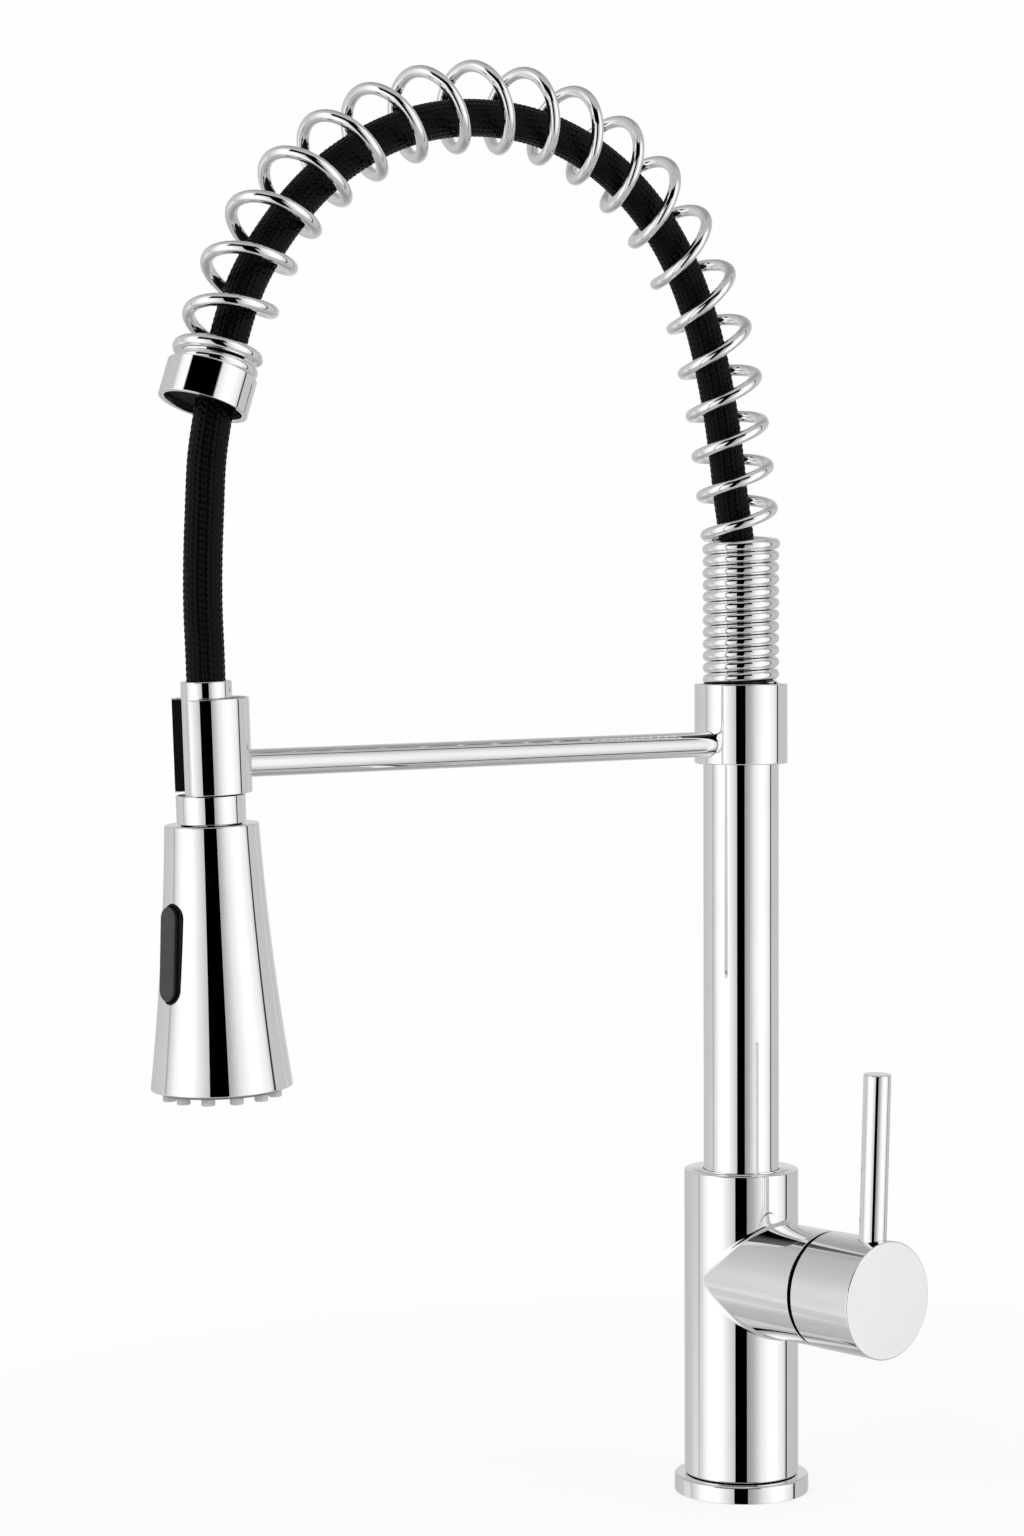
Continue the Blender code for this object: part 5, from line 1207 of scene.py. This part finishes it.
def make_world():
    """White studio: soft boxes left and right, a dark line at one side and grey further round."""
    world = bpy.data.worlds.new("studio")
    nodes = Nodes(world)
    x, y, z = nodes.add("SeparateXYZ", nodes.new("TexCoord")).outputs
    front = (math.sin(CAMERA_SIDE), -math.cos(CAMERA_SIDE))
    right = (math.cos(CAMERA_SIDE), math.sin(CAMERA_SIDE))
    ahead, aside = (nodes.math("ADD", nodes.math("MULTIPLY", x, way[0]), nodes.math("MULTIPLY", y, way[1]))
                    for way in (front, right))
    azimuth = nodes.math("DEGREES", nodes.math("ARCTAN2", aside, ahead))
    elevation = nodes.math("DEGREES", nodes.math("ARCSINE", z))
    turn = nodes.math("ABSOLUTE", azimuth)
    rise = nodes.math("ABSOLUTE", elevation)
    ramp = nodes.add("ValToRGB", nodes.math("MULTIPLY_ADD", azimuth, 1.0 / CIRCLE_DEGREES, 0.5))
    elements = ramp.color_ramp.elements
    elements.remove(elements[1])
    elements[0].position = 0.0
    for number, (angle, brightness) in enumerate(STUDIO_BANDS):
        element = elements[0] if number == 0 else elements.new(angle / CIRCLE_DEGREES + 0.5)
        element.color = (*[shown(brightness)] * 3, 1.0)
    faded = nodes.mix(nodes.step(turn, *BOX_SIDE), nodes.step(rise, *BOX_HALF_HEIGHT),
                      nodes.step(rise, *SIDE_HALF_HEIGHT))
    dull = nodes.mix(nodes.step(turn, *BACK_SIDE), shown(STUDIO_GREY), shown(BACK_GREY))
    light = nodes.mix(faded, ramp.outputs["Color"], dull)
    shade = nodes.math("MULTIPLY", nodes.near(azimuth, SHADE_MIDDLE, SHADE_HALF_WIDTH),
                       nodes.step(elevation, *SHADE_TOP, 1.0, 0.0))
    light = nodes.dim(light, shade, SHADE_SHARE)
    glow = nodes.math("MULTIPLY", nodes.near(elevation, GLOW_MIDDLE[1], GLOW_HALF_HEIGHT),
                      nodes.near(azimuth, GLOW_MIDDLE[0], GLOW_HALF_WIDTH))
    light = nodes.math("MULTIPLY_ADD", glow, GLOW_BRIGHTNESS, light)
    flag = nodes.math("MULTIPLY", nodes.near(azimuth, FLAG_MIDDLE, FLAG_HALF_WIDTH), nodes.math(
        "SUBTRACT", nodes.step(elevation, *FLAG_BOTTOM), nodes.step(elevation, *FLAG_TOP)))
    light = nodes.dim(light, flag, 1.0)
    start, end = DARK_LINE
    line = nodes.math("MULTIPLY", nodes.step(azimuth, start - LINE_EDGE, start),
                      nodes.step(azimuth, end, end + LINE_EDGE, 1.0, 0.0))
    line = nodes.math("MULTIPLY", line, nodes.step(rise, *LINE_HALF_HEIGHT, 1.0, 0.0))
    light = nodes.dim(light, line, LINE_SHARE)
    rays = nodes.add("LightPath").outputs
    light = nodes.mix(rays["Is Diffuse Ray"], light, DAYLIGHT)
    light = nodes.mix(rays["Is Camera Ray"], light, BACKGROUND)
    nodes.add("OutputWorld", nodes.new("Background", light))
    bpy.context.scene.world = world


def add_sheet(name, corners, material):
    """Flat piece of the stage."""
    sheet = add_piece(name, new_mesh(name, corners, [(0, 1, 2, 3)]), UPRIGHT, material)
    return sheet


def make_card():
    """Tall black card beside and behind the camera, seen only as the dark strip in the chrome."""
    material = bpy.data.materials.new("black_card")
    nodes = Nodes(material)
    nodes.add("OutputMaterial", nodes.new("Emission", Strength=0.0))
    corners = [(x, y, side * rise) for side, (x, y, rise) in (
        (-1.0, CARD_FAR), (-1.0, CARD_NEAR), (1.0, CARD_NEAR), (1.0, CARD_FAR))]
    card = add_sheet("black_card", corners, material)
    card.visible_camera = False
    card.visible_diffuse = False
    card.visible_shadow = False


def make_floor():
    """Pale floor that keeps the object's shadow; mirrors see the studio in its place."""
    material = bpy.data.materials.new("pale_floor")
    nodes = Nodes(material)
    rays = nodes.add("LightPath").outputs
    away = nodes.add("VectorMath", nodes.add("TexCoord").outputs["Object"], operation="LENGTH")
    faded = nodes.math("MAXIMUM", FLOOR_LEAST, nodes.step(away.outputs["Value"], *FLOOR_FADE))
    white = nodes.new("Emission", (BACKGROUND, BACKGROUND, BACKGROUND, 1.0))
    seen = nodes.new("MixShader", nodes.math("MULTIPLY", rays["Is Camera Ray"], faded),
                     nodes.new("BsdfDiffuse", FLOOR_COLOUR), white)
    clear = nodes.new("BsdfTransparent")
    nodes.add("OutputMaterial", nodes.new("MixShader", rays["Is Glossy Ray"], seen, clear))
    corners = [(x * FLOOR_HALF, y * FLOOR_HALF, 0.0) for x, y in ((-1, -1), (1, -1), (1, 1), (-1, 1))]
    add_sheet("floor", corners, material)


def make_lamp(name, place, size, power):
    """Soft lamp that lights the plastics and the hose but isn't mirrored in the chrome."""
    data = bpy.data.lights.new(name, "AREA")
    data.shape = "DISK"
    data.size = size
    data.energy = power
    lamp = bpy.data.objects.new(name, data)
    bpy.context.scene.collection.objects.link(lamp)
    aim = (Vector(LAMP_TARGET) - Vector(place)).to_track_quat("-Z", "Y").to_matrix().to_4x4()
    lamp.matrix_world = Matrix.Translation(place) @ aim
    lamp.visible_glossy = False


make_base()
make_valve_body()
make_handle()
make_riser()
make_holder()
make_hose_end()
make_spray_head()
make_return_spring()
make_spring()
make_hose()
dress_nodes()
make_camera()
make_world()
make_card()
make_floor()
make_lamp("key", place=(0.2, -1.6, 1.3), size=0.8, power=9.0)
make_lamp("fill", place=(1.5, 0.4, 0.7), size=0.9, power=6.0)
bpy.context.scene.view_settings.view_transform = "Standard"
